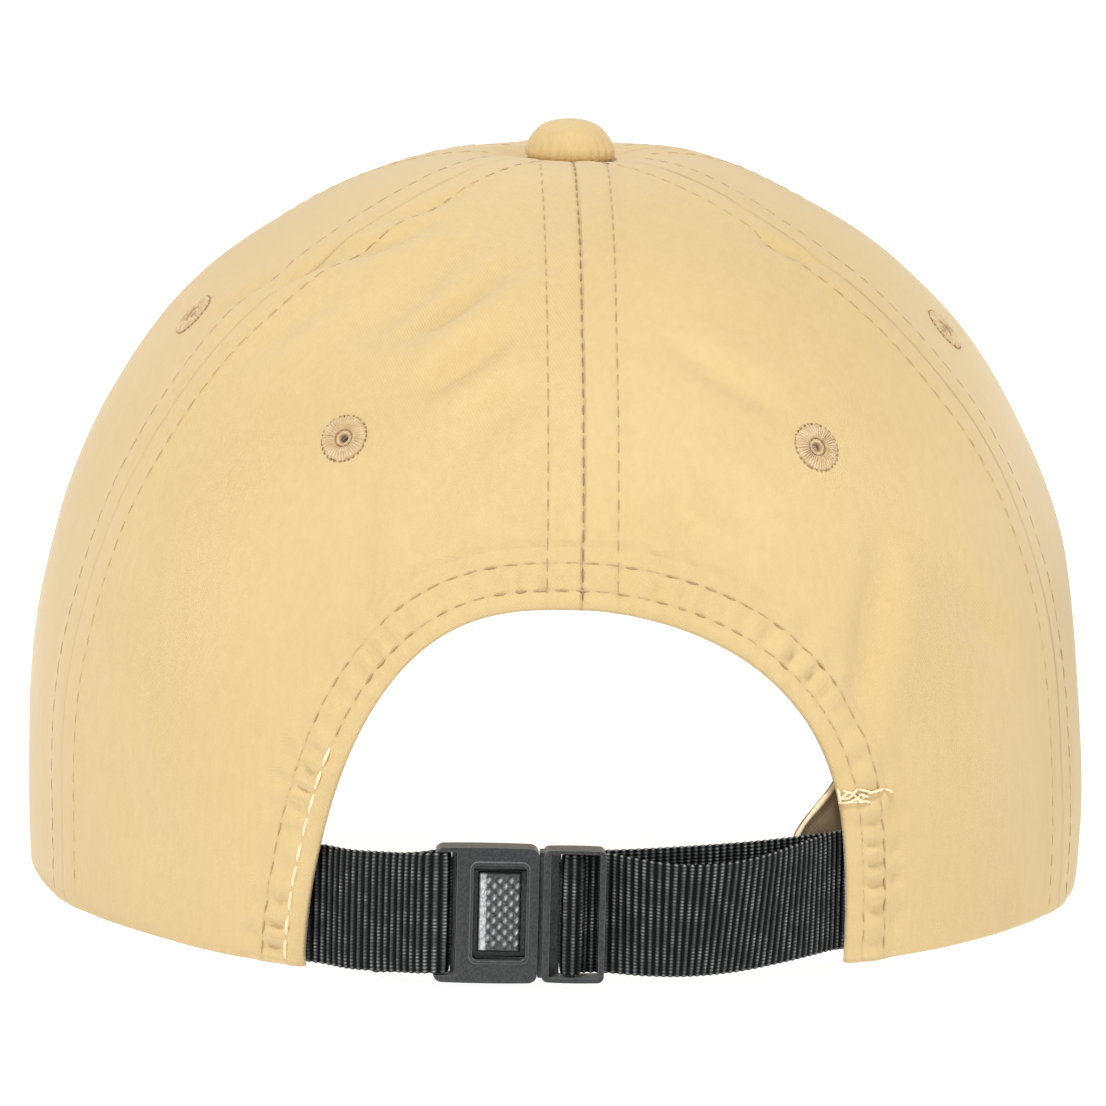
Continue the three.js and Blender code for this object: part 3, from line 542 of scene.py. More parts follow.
class Look:
    """A node material: constants sit on the shader's own sockets, nodes make what varies."""

    def __init__(self, name, roughness, **sockets):
        self.material = bpy.data.materials.new(name)
        self.material.use_nodes = True
        self.tree = self.material.node_tree
        self.shader = self.tree.nodes["Principled BSDF"]
        self.shader.inputs["Roughness"].default_value = roughness
        for socket, value in sockets.items():
            self.shader.inputs[socket.replace("_", " ")].default_value = value

    def node(self, kind, values=(), **settings):
        made = self.tree.nodes.new("ShaderNode" + kind)
        for key, value in settings.items():
            setattr(made, key, value)
        for key, value in dict(values).items():
            if isinstance(value, bpy.types.NodeSocket):
                self.tree.links.new(value, made.inputs[key])
            else:
                made.inputs[key].default_value = value
        return made

    def maths(self, operation, a, b=0.0):
        return self.node("Math", {0: a, 1: b}, operation=operation).outputs[0]

    def mix(self, factor, a, b):
        return self.node("Mix", {0: factor, 6: rgba(a), 7: rgba(b)}, data_type="RGBA").outputs[2]

    def weigh(self, *parts):
        """The sum of values, each times its weight."""
        total = self.maths("MULTIPLY", *parts[0])
        for part in parts[1:]:
            total = self.maths("ADD", total, self.maths("MULTIPLY", *part))
        return total

    def painted_shading_mask(self):
        return self.node("Attribute", attribute_name="painted_shading_mask").outputs["Fac"]

    def cloth_spot(self):
        """The cloth's own coordinates in millimetres, as two sockets."""
        uv = self.node("UVMap", uv_map="cloth").outputs[0]
        parts = self.node("SeparateXYZ", {0: uv})
        return [self.maths("MULTIPLY", parts.outputs[k], 100.0) for k in (0, 1)]

    def noise(self, scale, detail=3.0, stretch=None):
        where = self.node("TexCoord").outputs["Object"]
        if stretch:
            where = self.node("Mapping", {0: where, "Scale": stretch}).outputs[0]
        return self.node("TexNoise", {"Vector": where, "Scale": scale, "Detail": detail}).outputs[0]

    def spread(self, value, low, high, to_low=0.0, to_high=1.0):
        return self.node("MapRange", {0: value, 1: low, 2: high, 3: to_low, 4: to_high}).outputs[0]

    def wave(self, across, pitch, phase=None):
        turned = self.maths("MULTIPLY", across, TAU / pitch)
        if phase is not None:
            turned = self.maths("ADD", turned, phase)
        return self.maths("SINE", turned)

    def set(self, socket, value):
        self.tree.links.new(value, self.shader.inputs[socket])

    def bump(self, height, distance, strength=1.0, under=None):
        values = {"Height": height, "Distance": distance, "Strength": strength}
        if under is not None:
            values["Normal"] = under
        return self.node("Bump", values).outputs[0]


def woven(name, light, dark, pitch=0.62, depth=0.00004, roughness=0.68, sheen=0.25, groove=None):
    """Plain-woven cloth: crossing yarns, uneven dye, slubs and, if a groove colour is given, painted shade in
    the seam grooves and hem rows.
    """
    look = Look(name, roughness, Sheen_Weight=sheen, Sheen_Roughness=0.45, Specular_IOR_Level=0.28)
    across, up = look.cloth_spot()
    drift = look.maths("MULTIPLY", look.noise(160.0, 2.0), 1.6)
    yarns = look.maths("MULTIPLY", look.wave(across, pitch, drift), look.wave(up, pitch, drift))
    patches = look.spread(look.noise(30.0, 3.0), 0.3, 0.7)
    fine = look.spread(look.noise(520.0, 3.0), 0.3, 0.7)
    streaks = look.spread(look.noise(900.0, 2.0, stretch=(1.0, 1.0, 0.12)), 0.35, 0.65)
    tone = look.weigh((patches, 0.42), (fine, 0.26), (streaks, 0.2), (yarns, 0.06))
    colour = look.mix(tone, dark, light)
    # Painted shade: the groove colour darkens the cloth where the shade mask marks the seam grooves and hem
    # rows.
    if groove:
        colour = look.mix(look.spread(look.painted_shading_mask(), 0.06, 0.42, 0.0, 0.5), colour, groove)
    look.set("Base Color", colour)
    look.set("Roughness", look.spread(fine, 0.0, 1.0, roughness - 0.06, roughness + 0.08))
    wrinkle = look.bump(look.noise(150.0, 3.0), 0.00012, 0.35)
    look.set("Normal", look.bump(yarns, depth, 0.6, wrinkle))
    return look.material


def thread(name, light, dark, roughness=0.5, painted_shading_colour=None):
    """Spun thread: a fine twist, small colour differences and, if asked, painted shade in its hollows."""
    look = Look(name, roughness, Sheen_Weight=0.2, Specular_IOR_Level=0.35)
    twist = look.noise(5200.0, 2.0)
    colour = look.mix(look.spread(look.noise(900.0, 2.0), 0.35, 0.65), dark, light)
    if painted_shading_colour:
        colour = look.mix(look.spread(look.painted_shading_mask(), 0.1, 1.0, 0.0, 0.85), colour, painted_shading_colour)
    look.set("Base Color", colour)
    look.set("Normal", look.bump(twist, 0.00005, 0.8))
    return look.material


def webbing_look():
    """Black webbing: painted shade in the gaps between ribs of twisted yarn, and painted highlights as small
    dots on the ribs and along the edges.
    """
    look = Look("webbing_black", 0.5, Specular_IOR_Level=0.1)
    _, across = look.cloth_spot()
    crest = look.maths("POWER", look.painted_shading_mask(), 2.6)
    dots = look.spread(look.wave(across, 0.56, look.noise(900.0, 2.0)), -0.6, 1.0)
    edge = look.spread(look.maths("ABSOLUTE", across), 9.35, 9.6)
    patches = look.spread(look.noise(300.0, 4.0), 0.44, 0.66, 0.1, 1.0)
    # Painted highlight: dots on the rib crests, in patches, and all along the two edges.
    painted_glint = look.maths("MULTIPLY", look.maths("MULTIPLY", crest, dots), look.maths("MAXIMUM", patches, edge))
    # Painted shade: near black in the gaps between the ribs, dark grey on the crests.
    base = look.mix(crest, (0.002, 0.002, 0.0024), (0.066, 0.069, 0.07))
    look.set("Base Color", look.mix(painted_glint, base, (0.35, 0.36, 0.36)))
    look.set("Roughness", look.spread(look.noise(1500.0, 2.0), 0.3, 0.7, 0.36, 0.6))
    fibres = look.bump(look.noise(4200.0, 2.0, stretch=(1.0, 1.0, 0.4)), 0.00005, 0.8)
    look.set("Normal", look.bump(dots, 0.00012, 0.8, fibres))
    return look.material


def plastic(name, low, high, roughness=0.36, grain=0.00003, painted_shading_colour=None):
    """Moulded acetal: a fine spark-eroded skin with slight scuffs in random patches and, if asked, a colour
    mixed in by the shade mask: a painted highlight on the buckle's edges and tops, painted shade in the pad's
    pits.
    """
    look = Look(name, roughness, Specular_IOR_Level=0.55)
    scuffs = look.spread(look.noise(2300.0, 3.0), 0.36, 0.66)
    colour = look.mix(scuffs, low, high)
    if painted_shading_colour:
        colour = look.mix(look.painted_shading_mask(), colour, painted_shading_colour)
    look.set("Base Color", colour)
    look.set("Roughness", look.spread(look.noise(600.0, 3.0), 0.3, 0.7, roughness - 0.06, roughness + 0.12))
    fine = look.bump(look.noise(2600.0, 3.0), grain, 0.9)
    look.set("Normal", look.bump(look.noise(420.0, 2.0), 0.00004, 0.5, fine))
    return look.material


def metal_look():
    look = Look("button_metal", 0.34, Metallic=1.0)
    brushed = look.noise(1800.0, 3.0, stretch=(1.0, 1.0, 0.1))
    look.set("Base Color", look.mix(brushed, (0.42, 0.42, 0.43), (0.66, 0.66, 0.67)))
    look.set("Roughness", look.spread(brushed, 0.3, 0.7, 0.26, 0.48))
    look.set("Normal", look.bump(brushed, 0.00003))
    return look.material


def floor_look():
    look = Look("pale_floor", 0.85, Specular_IOR_Level=0.1, Emission_Strength=0.93)
    look.shader.inputs["Emission Color"].default_value = (1, 1, 1, 1)
    look.set("Base Color", look.mix(look.noise(2.0, 2.0), (0.28,) * 3, (0.31,) * 3))
    return look.material


SAND = (0.74, 0.555, 0.276), (0.66, 0.478, 0.218)
# The groove colour is painted shade for the seam grooves and hem rows.
CLOTH = woven("sand_cloth", *SAND, groove=(0.36, 0.21, 0.09))
PLAIN_CLOTH = woven("sand_cloth_plain", *SAND)
# The pocket's cloth is the sweatband's tan, darkened with painted shade from inside the crown.
SHADED_INSIDE = woven("inside_cloth", (0.31, 0.23, 0.135), (0.22, 0.155, 0.09), pitch=0.7)
TAPE = woven("seam_tape_cloth", (0.74, 0.62, 0.42), (0.62, 0.5, 0.32), pitch=0.9, depth=0.0001)
BAND = woven("sweatband_cloth", (0.78, 0.64, 0.42), (0.66, 0.52, 0.32), pitch=0.8, depth=0.0001)
BUCKRAM = woven("buckram_mesh", (0.88, 0.86, 0.82), (0.74, 0.72, 0.67), pitch=1.3, depth=0.0002, sheen=0.05)
# The topstitching thread is the cloth's own tan, darkened with painted shade from the needle holes.
SHADED_ROW_THREAD = thread("thread_tan", (0.56, 0.38, 0.195), (0.42, 0.27, 0.125))
SEAM_THREAD = thread("thread_brown", (0.42, 0.26, 0.125), (0.29, 0.17, 0.075))
CREAM_THREAD = thread("thread_cream", (1.0, 0.88, 0.62), (0.88, 0.7, 0.42), 0.55)
# The eyelet thread's dark colour is painted shade in its hollows.
EYELET_THREAD = thread("thread_eyelet", (0.74, 0.56, 0.33), (0.6, 0.43, 0.22), painted_shading_colour=(0.26, 0.145, 0.06))
WEBBING = webbing_look()
# The buckle's light colour is a painted highlight on its rounded edges and top faces.
PLASTIC = plastic("buckle_plastic", (0.011, 0.0118, 0.0124), (0.038, 0.0398, 0.041), 0.33, 0.00014,
                  painted_shading_colour=(0.16, 0.168, 0.17))
# The pad's grey is lightened into a painted highlight on the stud tips; its dark colour is painted shade in
# the pits, round the edge and on the back.
PAD_PLASTIC = plastic("pad_plastic", (0.36, 0.365, 0.37), (0.72, 0.725, 0.73), 0.2,
                      painted_shading_colour=(0.01, 0.01, 0.011))
BOARD = plastic("visor_board", (0.09, 0.09, 0.09), (0.14, 0.14, 0.14), 0.6, 0.00004)
METAL = metal_look()


# ------------------------------------------------------------------ crown cloth

EDGE_STEPS = np.array([0, 0.5, 1.05, 1.8, 2.8, 4.0, 5.0, 5.7, 6.4, 7.4, 8.8])
AROUND = ["rear", "rear_left", "front_left", "front", "front_right", "rear_right", "rear"]
MIDDLE_COLUMNS = [48, 28, 38, 38, 28, 48]
ROWS = 112
STRIP_STEPS = np.array([0, 0.3, 0.8, 1.5, 2.2, 2.7, 3.0, 3.3, 3.9, 4.8, 5.8, 6.7, 7.2, 7.5, 7.8, 8.4, 9.2,
                        10.2])
STRIP_CLEARANCE = 11.0
EYELET_HOLE = 2.1


def eyelet_centre(place, sign):
    degrees, height = EYELETS[place]
    return crown(np.radians(sign * degrees), height)


def crown_columns():
    """Angle, height and place across its panel of every grid point: even rows, and columns set
    close by each seam."""
    low = np.concatenate([[0, 0.35, 0.9, 1.7, 2.8], np.linspace(4.2, S_TOP, ROWS - 5)]) / S_TOP
    edge = len(EDGE_STEPS)
    columns = []
    for k, middle in enumerate(MIDDLE_COLUMNS):
        start, end = SEAMS[AROUND[k]], SEAMS[AROUND[k + 1]]
        count = 2 * edge - 1 + middle
        for c in range(count):
            climb = np.zeros(ROWS)
            for _ in range(2):
                z = height_of(climb)
                first, last = start(z), end(z)
                last = np.where(last <= first + 0.01, last + TAU, last)
                centre = (first + last) / 2
                pace = pace_at(centre, z)
                wide = (last - first) * pace
                steps = np.minimum(1, 0.36 * wide / EDGE_STEPS[-1])[:, None] * EDGE_STEPS
                if c < edge:
                    place = steps[:, c]
                elif c < edge + middle:
                    place = steps[:, -1] + (wide - 2 * steps[:, -1]) * (c - edge + 1) / (middle + 1)
                else:
                    place = wide - steps[:, count - c]
                angle = first + place / pace
                rim = climb_of(rim_height(wrapped(angle)[0]))
                climb = rim + low * (S_TOP - rim)
            columns.append((wrapped(angle), height_of(climb), (angle - centre) * pace))
    return [np.array(part) for part in zip(*columns)]


def arch_strip():
    """A strip of cloth along the arch: angle and height of its grid points, and its length."""
    apex = np.interp(0, -ARCH[:, 0], ARCH_RUN)
    seam = EDGE_STEPS[-1]
    left = np.linspace(0, apex - seam, int((apex - seam) / 0.85))
    right = np.linspace(apex + seam, ARCH_END, int((ARCH_END - apex - seam) / 0.85))
    middle = np.concatenate([-EDGE_STEPS[:0:-1], EDGE_STEPS])[1:-1] + apex
    base, out = arch_at(np.concatenate([left, middle, right]))
    out[0], out[-1] = (1, 0), (-1, 0)
    strip = base[:, None] + out[:, None] * STRIP_STEPS[:, None]
    lowest = np.where(strip[..., 0] < 0, climb_of(RIGHT_RIM_RISE), 0.0)
    strip[..., 1] = np.maximum(strip[..., 1], lowest)
    return (*unflatten(strip.reshape(-1, 2)), len(base))


def bridge(flat, loop):
    """Triangles that fill a closed loop of points in the unrolled cloth."""
    made = delaunay_2d_cdt([Vector(flat[v]) for v in loop], [], [list(range(len(loop)))], 1, 1e-5, True)
    source = [loop[o[0]] if o else None for o in made[3]]
    filled = [[source[v] for v in face] for face in made[2]]
    filled = [f for f in filled if None not in f]
    middle = np.array([flat[f].mean(0) for f in filled])
    return [f[::-1] for f, inside in zip(filled, within(middle, flat[loop])) if inside]


def crown_mesh():
    angle, z, u = crown_columns()
    columns, rows = angle.shape
    faces = grid_faces(columns, rows, closed_columns=True)[:, ::-1]
    angle, z, u = angle.ravel(), z.ravel(), u.ravel()
    hem, _ = arch_distance(angle, z)
    keep = ~(hem[faces] < STRIP_CLEARANCE).any(1)
    middles = crown(angle, z)[faces].mean(1)
    for place in EYELETS:
        for sign in (1, -1):
            keep &= np.linalg.norm(middles - eyelet_centre(place, sign), axis=1) > EYELET_HOLE
    kept = faces[keep]
    around_arch = kept[(hem[kept] < 2 * STRIP_CLEARANCE).any(1)]
    edge = boundary_chain_of(around_arch, hem, np.arange(len(z)) % rows == 0)

    strip_angle, strip_z, length = arch_strip()
    offset, steps = len(angle), len(STRIP_STEPS)
    strip_faces = grid_faces(length, steps) + offset
    outer_row = offset + np.arange(length) * steps + steps - 1
    angle, z = np.concatenate([angle, strip_angle]), np.concatenate([z, strip_z])
    flat = flatten(angle, z)
    if flat[edge[0], 0] > 0:
        edge = edge[::-1]
    panel_middle = 52
    strip_u = flat[offset:, 0] - np.sign(flat[offset:, 0]) * panel_middle
    everything = kept.tolist() + strip_faces.tolist() + bridge(flat, list(outer_row) + edge)
    return angle, z, np.concatenate([u, strip_u]), everything


def within(points, outline):
    """Which points lie inside a closed outline."""
    a, b = outline[None], np.roll(outline, -1, axis=0)[None]
    x, y = points[:, 0:1], points[:, 1:2]
    spans = (a[..., 1] > y) != (b[..., 1] > y)
    rise = np.where(spans, b[..., 1] - a[..., 1], 1)
    crossing = a[..., 0] + (y - a[..., 1]) * (b[..., 0] - a[..., 0]) / rise
    return (spans & (crossing > x)).sum(1) % 2 == 1


def boundary_chain_of(faces, hem, rim_row):
    """The chain of points along the free edge that faces the arch, from rim to rim."""
    allowed = (hem > STRIP_CLEARANCE - 0.1) & (hem < STRIP_CLEARANCE + 6)
    edges = {}
    for f in faces.tolist():
        for a, b in zip(f, f[1:] + f[:1]):
            key = (min(a, b), max(a, b))
            edges[key] = edges.get(key, 0) + 1
    near = {}
    for (a, b), uses in edges.items():
        if uses == 1 and allowed[a] and allowed[b] and not (rim_row[a] and rim_row[b]):
            near.setdefault(a, []).append(b)
            near.setdefault(b, []).append(a)
    chain, last = [next(v for v, n in near.items() if len(n) == 1 and rim_row[v])], None
    while True:
        onward = [n for n in near[chain[-1]] if n != last]
        if not onward:
            return chain
        last = chain[-1]
        chain.append(onward[0])


def make_crown():
    angle, z, u, faces = crown_mesh()
    off, shade = relief(angle, z)
    points, normal = crown(angle, z), crown_normal(angle, z)
    outer = points + normal * off[:, None]
    inner = points + normal * (INNER_SHARE * off - CLOTH_THICKNESS)[:, None]
    uv = np.stack([u, climb_of(z)], -1)
    outer, faces, inner, uv, shade = drop_unused(outer, faces, inner, uv, shade)
    panels = [f"panel_{place}_{side}" for place in EYELETS for side in ("left", "right")]
    made = piece("crown_cloth", *thicken(outer, inner, faces), CLOTH, instead_of=panels,
                 uv=np.concatenate([uv, uv]), shade=np.concatenate([shade, 0.3 * shade]))


def row_on_crown(angle, z, length, gap, thickness, seed, lift=0.0):
    """Stitches along a line on the crown, following its relief."""
    run = run_along(crown(angle, z))
    places = np.stack([np.unwrap(angle), z], -1)
    start, end = (follow(at, run, places).T for at in dashes(run[-1], length, gap, seed))
    return stitches(outer_skin(*start, lift), outer_skin(*end, lift), crown_normal(*start), thickness, 0.3)


def seam_run(name, side, first, last):
    z = height_of(np.linspace(first, last, 260))
    seam = SEAMS[name](z)
    return seam + side * ROW_OFFSET / pace_at(seam, z), z


def hem_run(distance, first, last):
    base, out = arch_at(np.linspace(first, last, 400))
    flat = base + out * distance
    flat[:, 1] = np.maximum(flat[:, 1], 0.6)
    return unflatten(flat)


def make_crown_stitches():
    rows = []
    arch_top = climb_of(ARCH_HEIGHT)
    for k, name in enumerate(SEAMS):
        first = arch_top + HEM_WIDTH - 6.5 if name == "rear" else rim_climb(name) + 0.8
        last = climb_at_radius(8.5 if name in ("rear", "front") else 12.5)
        for side in (-1, 1):
            rows.append(row_on_crown(*seam_run(name, side, first, last), 2.5, 0.85, 0.29, 40 + 2 * k + side))
    rows.append(row_on_crown(*hem_run(HEM_ROWS[1], 1.0, ARCH_END - 1.0), 2.4, 0.9, 0.3, 61))
    rows.append(row_on_crown(*hem_run(HEM_ROWS[0], 38.0, ARCH_END - 1.0), 2.2, 1.1, 0.28, 62))
    piece("crown_topstitching", *merge(rows), SHADED_ROW_THREAD, slot="thread")

    climb = np.linspace(arch_top + 0.8, climb_at_radius(8.0), 260)
    seam = row_on_crown(0 * climb, height_of(climb), 2.1, 1.1, 0.3, 70, lift=0.12)
    piece("centre_seam_thread", *seam, SEAM_THREAD, slot="thread")

    thick = row_on_crown(*hem_run(HEM_ROWS[0], 0.6, 38.5), 3.5, 0.65, 0.62, 80, lift=0.08)
    piece("cream_thread", *merge([thick, tack_stitches()]), CREAM_THREAD, slot="thread")


def tack_stitches():
    """A loose tangle of thread tacked over the hem at the top of the strap's right end."""
    r = np.random.default_rng(5)
    parts = []
    centre = np.array([-47.8, climb_of(29.6)])
    for _ in range(15):
        middle = centre + r.normal(0, 1, 2) * (2.0, 0.6)
        heading, reach = r.normal(0.15, 0.5), r.uniform(0.7, 1.6)
        ahead = reach * np.array([math.cos(heading), math.sin(heading)])
        parts.append([middle - ahead, middle + ahead])
    parts.append(centre + np.array([[-2.5, 0.4], [-6.2, 0.9]]))
    parts.append(centre + np.array([[-6.2, 0.9], [-8.0, 0.1]]))
    ends = np.array(parts)
    start, end = unflatten(ends[:, 0]), unflatten(ends[:, 1])
    lift = r.uniform(0.0, 0.45, len(ends))[:, None]
    normal = crown_normal(*start)
    return stitches(outer_skin(*start) + normal * lift, outer_skin(*end) + normal * lift[::-1], normal, 0.5,
                    sunk=0.5)


# ------------------------------------------------------------------ eyelets

def uneven_phase(turn, steps, r, spread):
    """A phase that grows by whole turns, steps of them round a circle, each of its own width."""
    knots = np.cumsum(r.uniform(1 - spread, 1 + spread, steps))
    return np.interp(turn, TAU * np.concatenate([[0], knots / knots[-1]]), np.arange(steps + 1)) * TAU


def around_eyelet(place, sign, x, y, lift):
    """Points at x, y from an eyelet's centre, on the cloth and lifted off it, and the normals there."""
    degrees, height = EYELETS[place]
    angle = math.radians(sign * degrees)
    z = height_of(climb_of(height) + y)
    angle = angle + x / pace_at(angle, z)
    normal = crown_normal(angle, z)
    return outer_skin(angle, z) + normal * lift[:, None], normal


def eyelet_ring(place, sign, r):
    """An eyelet's thread: uneven ridges over a rounded section that closes on the cloth's inner side."""
    radii = np.array([0.6, 0.72, 1.0, 1.25, 1.5, 1.8, 2.2, 2.7, 3.3, 3.75, 4.0, 4.12])
    height = np.array([-0.6, -0.15, 0.12, 0.14, 0.02, 0.26, 0.42, 0.48, 0.42, 0.28, 0.08, -0.25])
    inner_radii = np.array([4.0, 3.2, 2.2, 0.9])
    inner_height = np.array([-1.25, -1.5, -1.5, -1.25])
    buckram = 0.7 if place == "front" else 0.0
    ridges = 42
    turn = np.arange(5 * ridges) * TAU / (5 * ridges)
    ridge = np.abs(np.sin(uneven_phase(turn, ridges, r, 0.25) / 2))[:, None] ** 0.7
    uneven = np.repeat(r.normal(0, 0.09, ridges), 5)[:, None]
    inner = np.zeros(len(inner_radii))
    weight = np.concatenate([bump(radii, 2.6, 1.5), inner])
    outer = np.concatenate([smooth(2.5, 4.0, radii), inner])
    rings = np.concatenate([radii, inner_radii]) + (uneven + 0.05 * ridge) * outer
    lift = np.concatenate([height, inner_height - buckram]) + 0.34 * (ridge - 0.6) * weight
    x, y = rings * np.cos(turn)[:, None], rings * np.sin(turn)[:, None]
    points, _ = around_eyelet(place, sign, x.ravel(), y.ravel(), lift.ravel())
    # Painted shade: darker between the ridges, at the hole's edge and at the outer edge, and fully dark on
    # the hidden inner face; the ring at 1.5 mm is a brown groove, partly the thread's own brown and partly
    # painted shade.
    edges = bump(radii, 0.6, 0.2) + 0.8 * bump(radii, 1.5, 0.16) + 0.6 * bump(radii, 4.12, 0.15)
    shade = np.clip(np.concatenate([edges, inner + 1]) + 0.7 * (1 - ridge) * weight, 0, 1)
    return points, grid_faces(*rings.shape, closed_columns=True, closed_rows=True), shade.ravel()


def eyelet_outline(place, sign, r):
    """Fine dark stitches round the outside and round the hole."""
    parts = []
    for radius, count, length, thick, lift in ((4.14, 30, 0.48, 0.26, 0.1), (1.5, 12, 0.42, 0.2, 0.16)):
        t = (np.arange(count) + r.uniform(-0.2, 0.2, count)) * TAU / count
        half = length / 2 / radius
        (start, normal), (end, _) = (
            around_eyelet(place, sign, radius * np.cos(t + h), radius * np.sin(t + h), np.full(count, lift))
            for h in (-half, half))
        parts.append(stitches(start, end, normal, thick, sunk=0.2))
    return merge(parts)


def make_eyelets():
    for n, (place, sign) in enumerate((p, s) for p in EYELETS for s in (1, -1)):
        r = np.random.default_rng(200 + n)
        where = place + ("_left" if sign > 0 else "_right")
        points, faces, shade = eyelet_ring(place, sign, r)
        piece("eyelet_ring_" + where, points, faces, EYELET_THREAD, slot="thread",
              instead_of=["eyelet_" + where], shade=shade)
        piece("eyelet_outline_" + where, *eyelet_outline(place, sign, r), SEAM_THREAD, slot="thread")


# ------------------------------------------------------------------ button

def cover_with(node_name, material):
    """Gives a frame object one of this script's materials."""
    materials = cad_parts[node_name].data.materials
    materials.clear()
    materials.append(material)


def make_button():
    """The gathered cloth over the button, tucked in under it, and the metal inside."""
    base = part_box("button_cover")[0][2] * 1000 - 0.3
    outside = 13
    profile = np.array([
        (0.02, 7.0), (1.6, 6.96), (3.1, 6.72), (4.5, 6.2), (5.6, 5.4), (6.5, 4.3), (7.1, 3.2),
        (7.42, 2.3), (7.5, 1.6), (7.35, 0.9), (6.9, 0.4), (6.0, 0.25), (5.4, 0.45), (6.1, 1.1),
        (6.75, 1.8), (6.6, 2.8), (5.9, 3.9), (5.0, 4.9), (3.2, 5.9), (0.02, 6.25)])
    radii, heights = profile.T
    shown = (np.arange(len(profile)) < outside) * 1.0
    turn = np.arange(240) * TAU / 240
    r = np.random.default_rng(31)
    folds = 26
    phase = uneven_phase(turn, folds, r, 0.4)
    deep = np.interp(phase, np.arange(folds + 1) * TAU, np.append(r.uniform(0.6, 1.3, folds), 1.0))
    flute = (np.abs(np.sin(phase / 2)) ** 0.8 - 0.6) * deep
    radius = radii + 0.34 * flute[:, None] * shown * (1 - smooth(1.6, 4.8, heights))
    sag = 0.05 * np.sin(3 * turn + 1)[:, None] * smooth(0, 5, radii)
    x, y = radius * np.cos(turn)[:, None], radius * np.sin(turn)[:, None]
    points = np.stack([x, y, base + heights + shown * sag], -1).reshape(-1, 3)
    faces = grid_faces(*radius.shape, closed_columns=True, closed_rows=True)
    uv = np.stack([points[:, 0], points[:, 1] + 0.7 * points[:, 2]], -1)
    piece("button_cloth", points, faces, PLAIN_CLOTH, instead_of=["button_cover"], uv=uv)
    for name in ("button_core", "button_back_plate"):
        cover_with(name, METAL)


# ------------------------------------------------------------------ inside of the crown

LINING_GAP = 0.06
TAPE_HALF = 6.2


def inside_skin(angle, z, lift):
    """The crown cloth's inner face, moved further in by lift."""
    off, _ = relief(angle, z)
    return crown(angle, z) + crown_normal(angle, z) * (INNER_SHARE * off - CLOTH_THICKNESS - lift)[:, None]


def lining_strip(angle, z, thickness, uv, swell=0.0, keep=None):
    """A closed strip of cloth on the crown's inner face, from grids of angles and heights."""
    across = np.linspace(-1, 1, angle.shape[1])[None] + 0 * angle
    rounded = thickness * (0.55 + 0.45 * np.sqrt(np.maximum(0, 1 - np.abs(across) ** 6)))
    rounded += swell * (1 - across**2)
    near = inside_skin(angle.ravel(), z.ravel(), LINING_GAP)
    far = inside_skin(angle.ravel(), z.ravel(), LINING_GAP + rounded.ravel())
    faces = grid_faces(*angle.shape)
    if keep is not None:
        faces = faces[keep(near[faces].mean(1))]
    near, faces, far, uv = drop_unused(near, faces, far, uv)
    return (*thicken(near, far, faces), np.concatenate([uv, uv]))


def make_tape(name, first, last, threads):
    """A tape over one seam, and its two rows of stitching."""
    climb = np.linspace(first, last, 120)
    z = height_of(climb)
    seam = SEAMS[name](z)
    pace = pace_at(seam, z)
    across = np.linspace(-TAPE_HALF, TAPE_HALF, 13)
    angle = seam[:, None] + np.clip(across[None] / pace[:, None], -1.1, 1.1)
    uv = np.stack([np.tile(across, len(climb)), np.repeat(climb, len(across))], -1)
    for side in (-4.6, 4.6):
        line = seam + np.clip(side / pace, -1.0, 1.0)
        seed = int(abs(side) + first * 7 + 3 * len(threads))
        (a0, z0), (a1, z1) = ((np.interp(at, climb - first, line), height_of(first + at))
                              for at in dashes(last - first, 2.5, 0.8, seed))
        start, end = inside_skin(a0, z0, 0.6), inside_skin(a1, z1, 0.6)
        threads.append(stitches(start, end, -crown_normal(a0, z0), 0.34))
    return lining_strip(angle, z[:, None] + 0 * angle, 0.45, uv, swell=0.12)


def make_tapes():
    threads = []
    for name in ("rear_left", "rear_right", "front_left", "front_right"):
        points, faces, uv = make_tape(name, rim_climb(name) + 2.0, climb_at_radius(16.0), threads)
        piece("tape_" + name, points, faces, TAPE, slot="lining", uv=uv, instead_of=["seam_tape_" + name])
    starts = {"rear": climb_of(ARCH_HEIGHT) + HEM_WIDTH + 1.5, "front": rim_climb("front") + 2.0}
    centre = [make_tape(name, first, climb_at_radius(4.0), threads) for name, first in starts.items()]
    points, faces = merge([tape[:2] for tape in centre])
    piece("tape_centre", points, faces, TAPE, slot="lining", uv=np.concatenate([tape[2] for tape in centre]),
          instead_of=["seam_tape_centre"])
    piece("tape_stitching", *merge(threads), SHADED_ROW_THREAD, slot="thread")


def make_facing():
    places, steps = np.linspace(2.0, ARCH_END - 2.0, 190), np.linspace(1.2, 9.6, 12)
    base, out = arch_at(places)
    angle, z = unflatten(base[:, None] + out[:, None] * steps[:, None])
    uv = np.stack([np.tile(steps, len(places)), np.repeat(places, len(steps))], -1)
    points, faces, uv = lining_strip(angle, z, 0.42, uv)
    piece("arch_facing_cloth", points, faces, TAPE, slot="lining", uv=uv, instead_of=["arch_facing"])


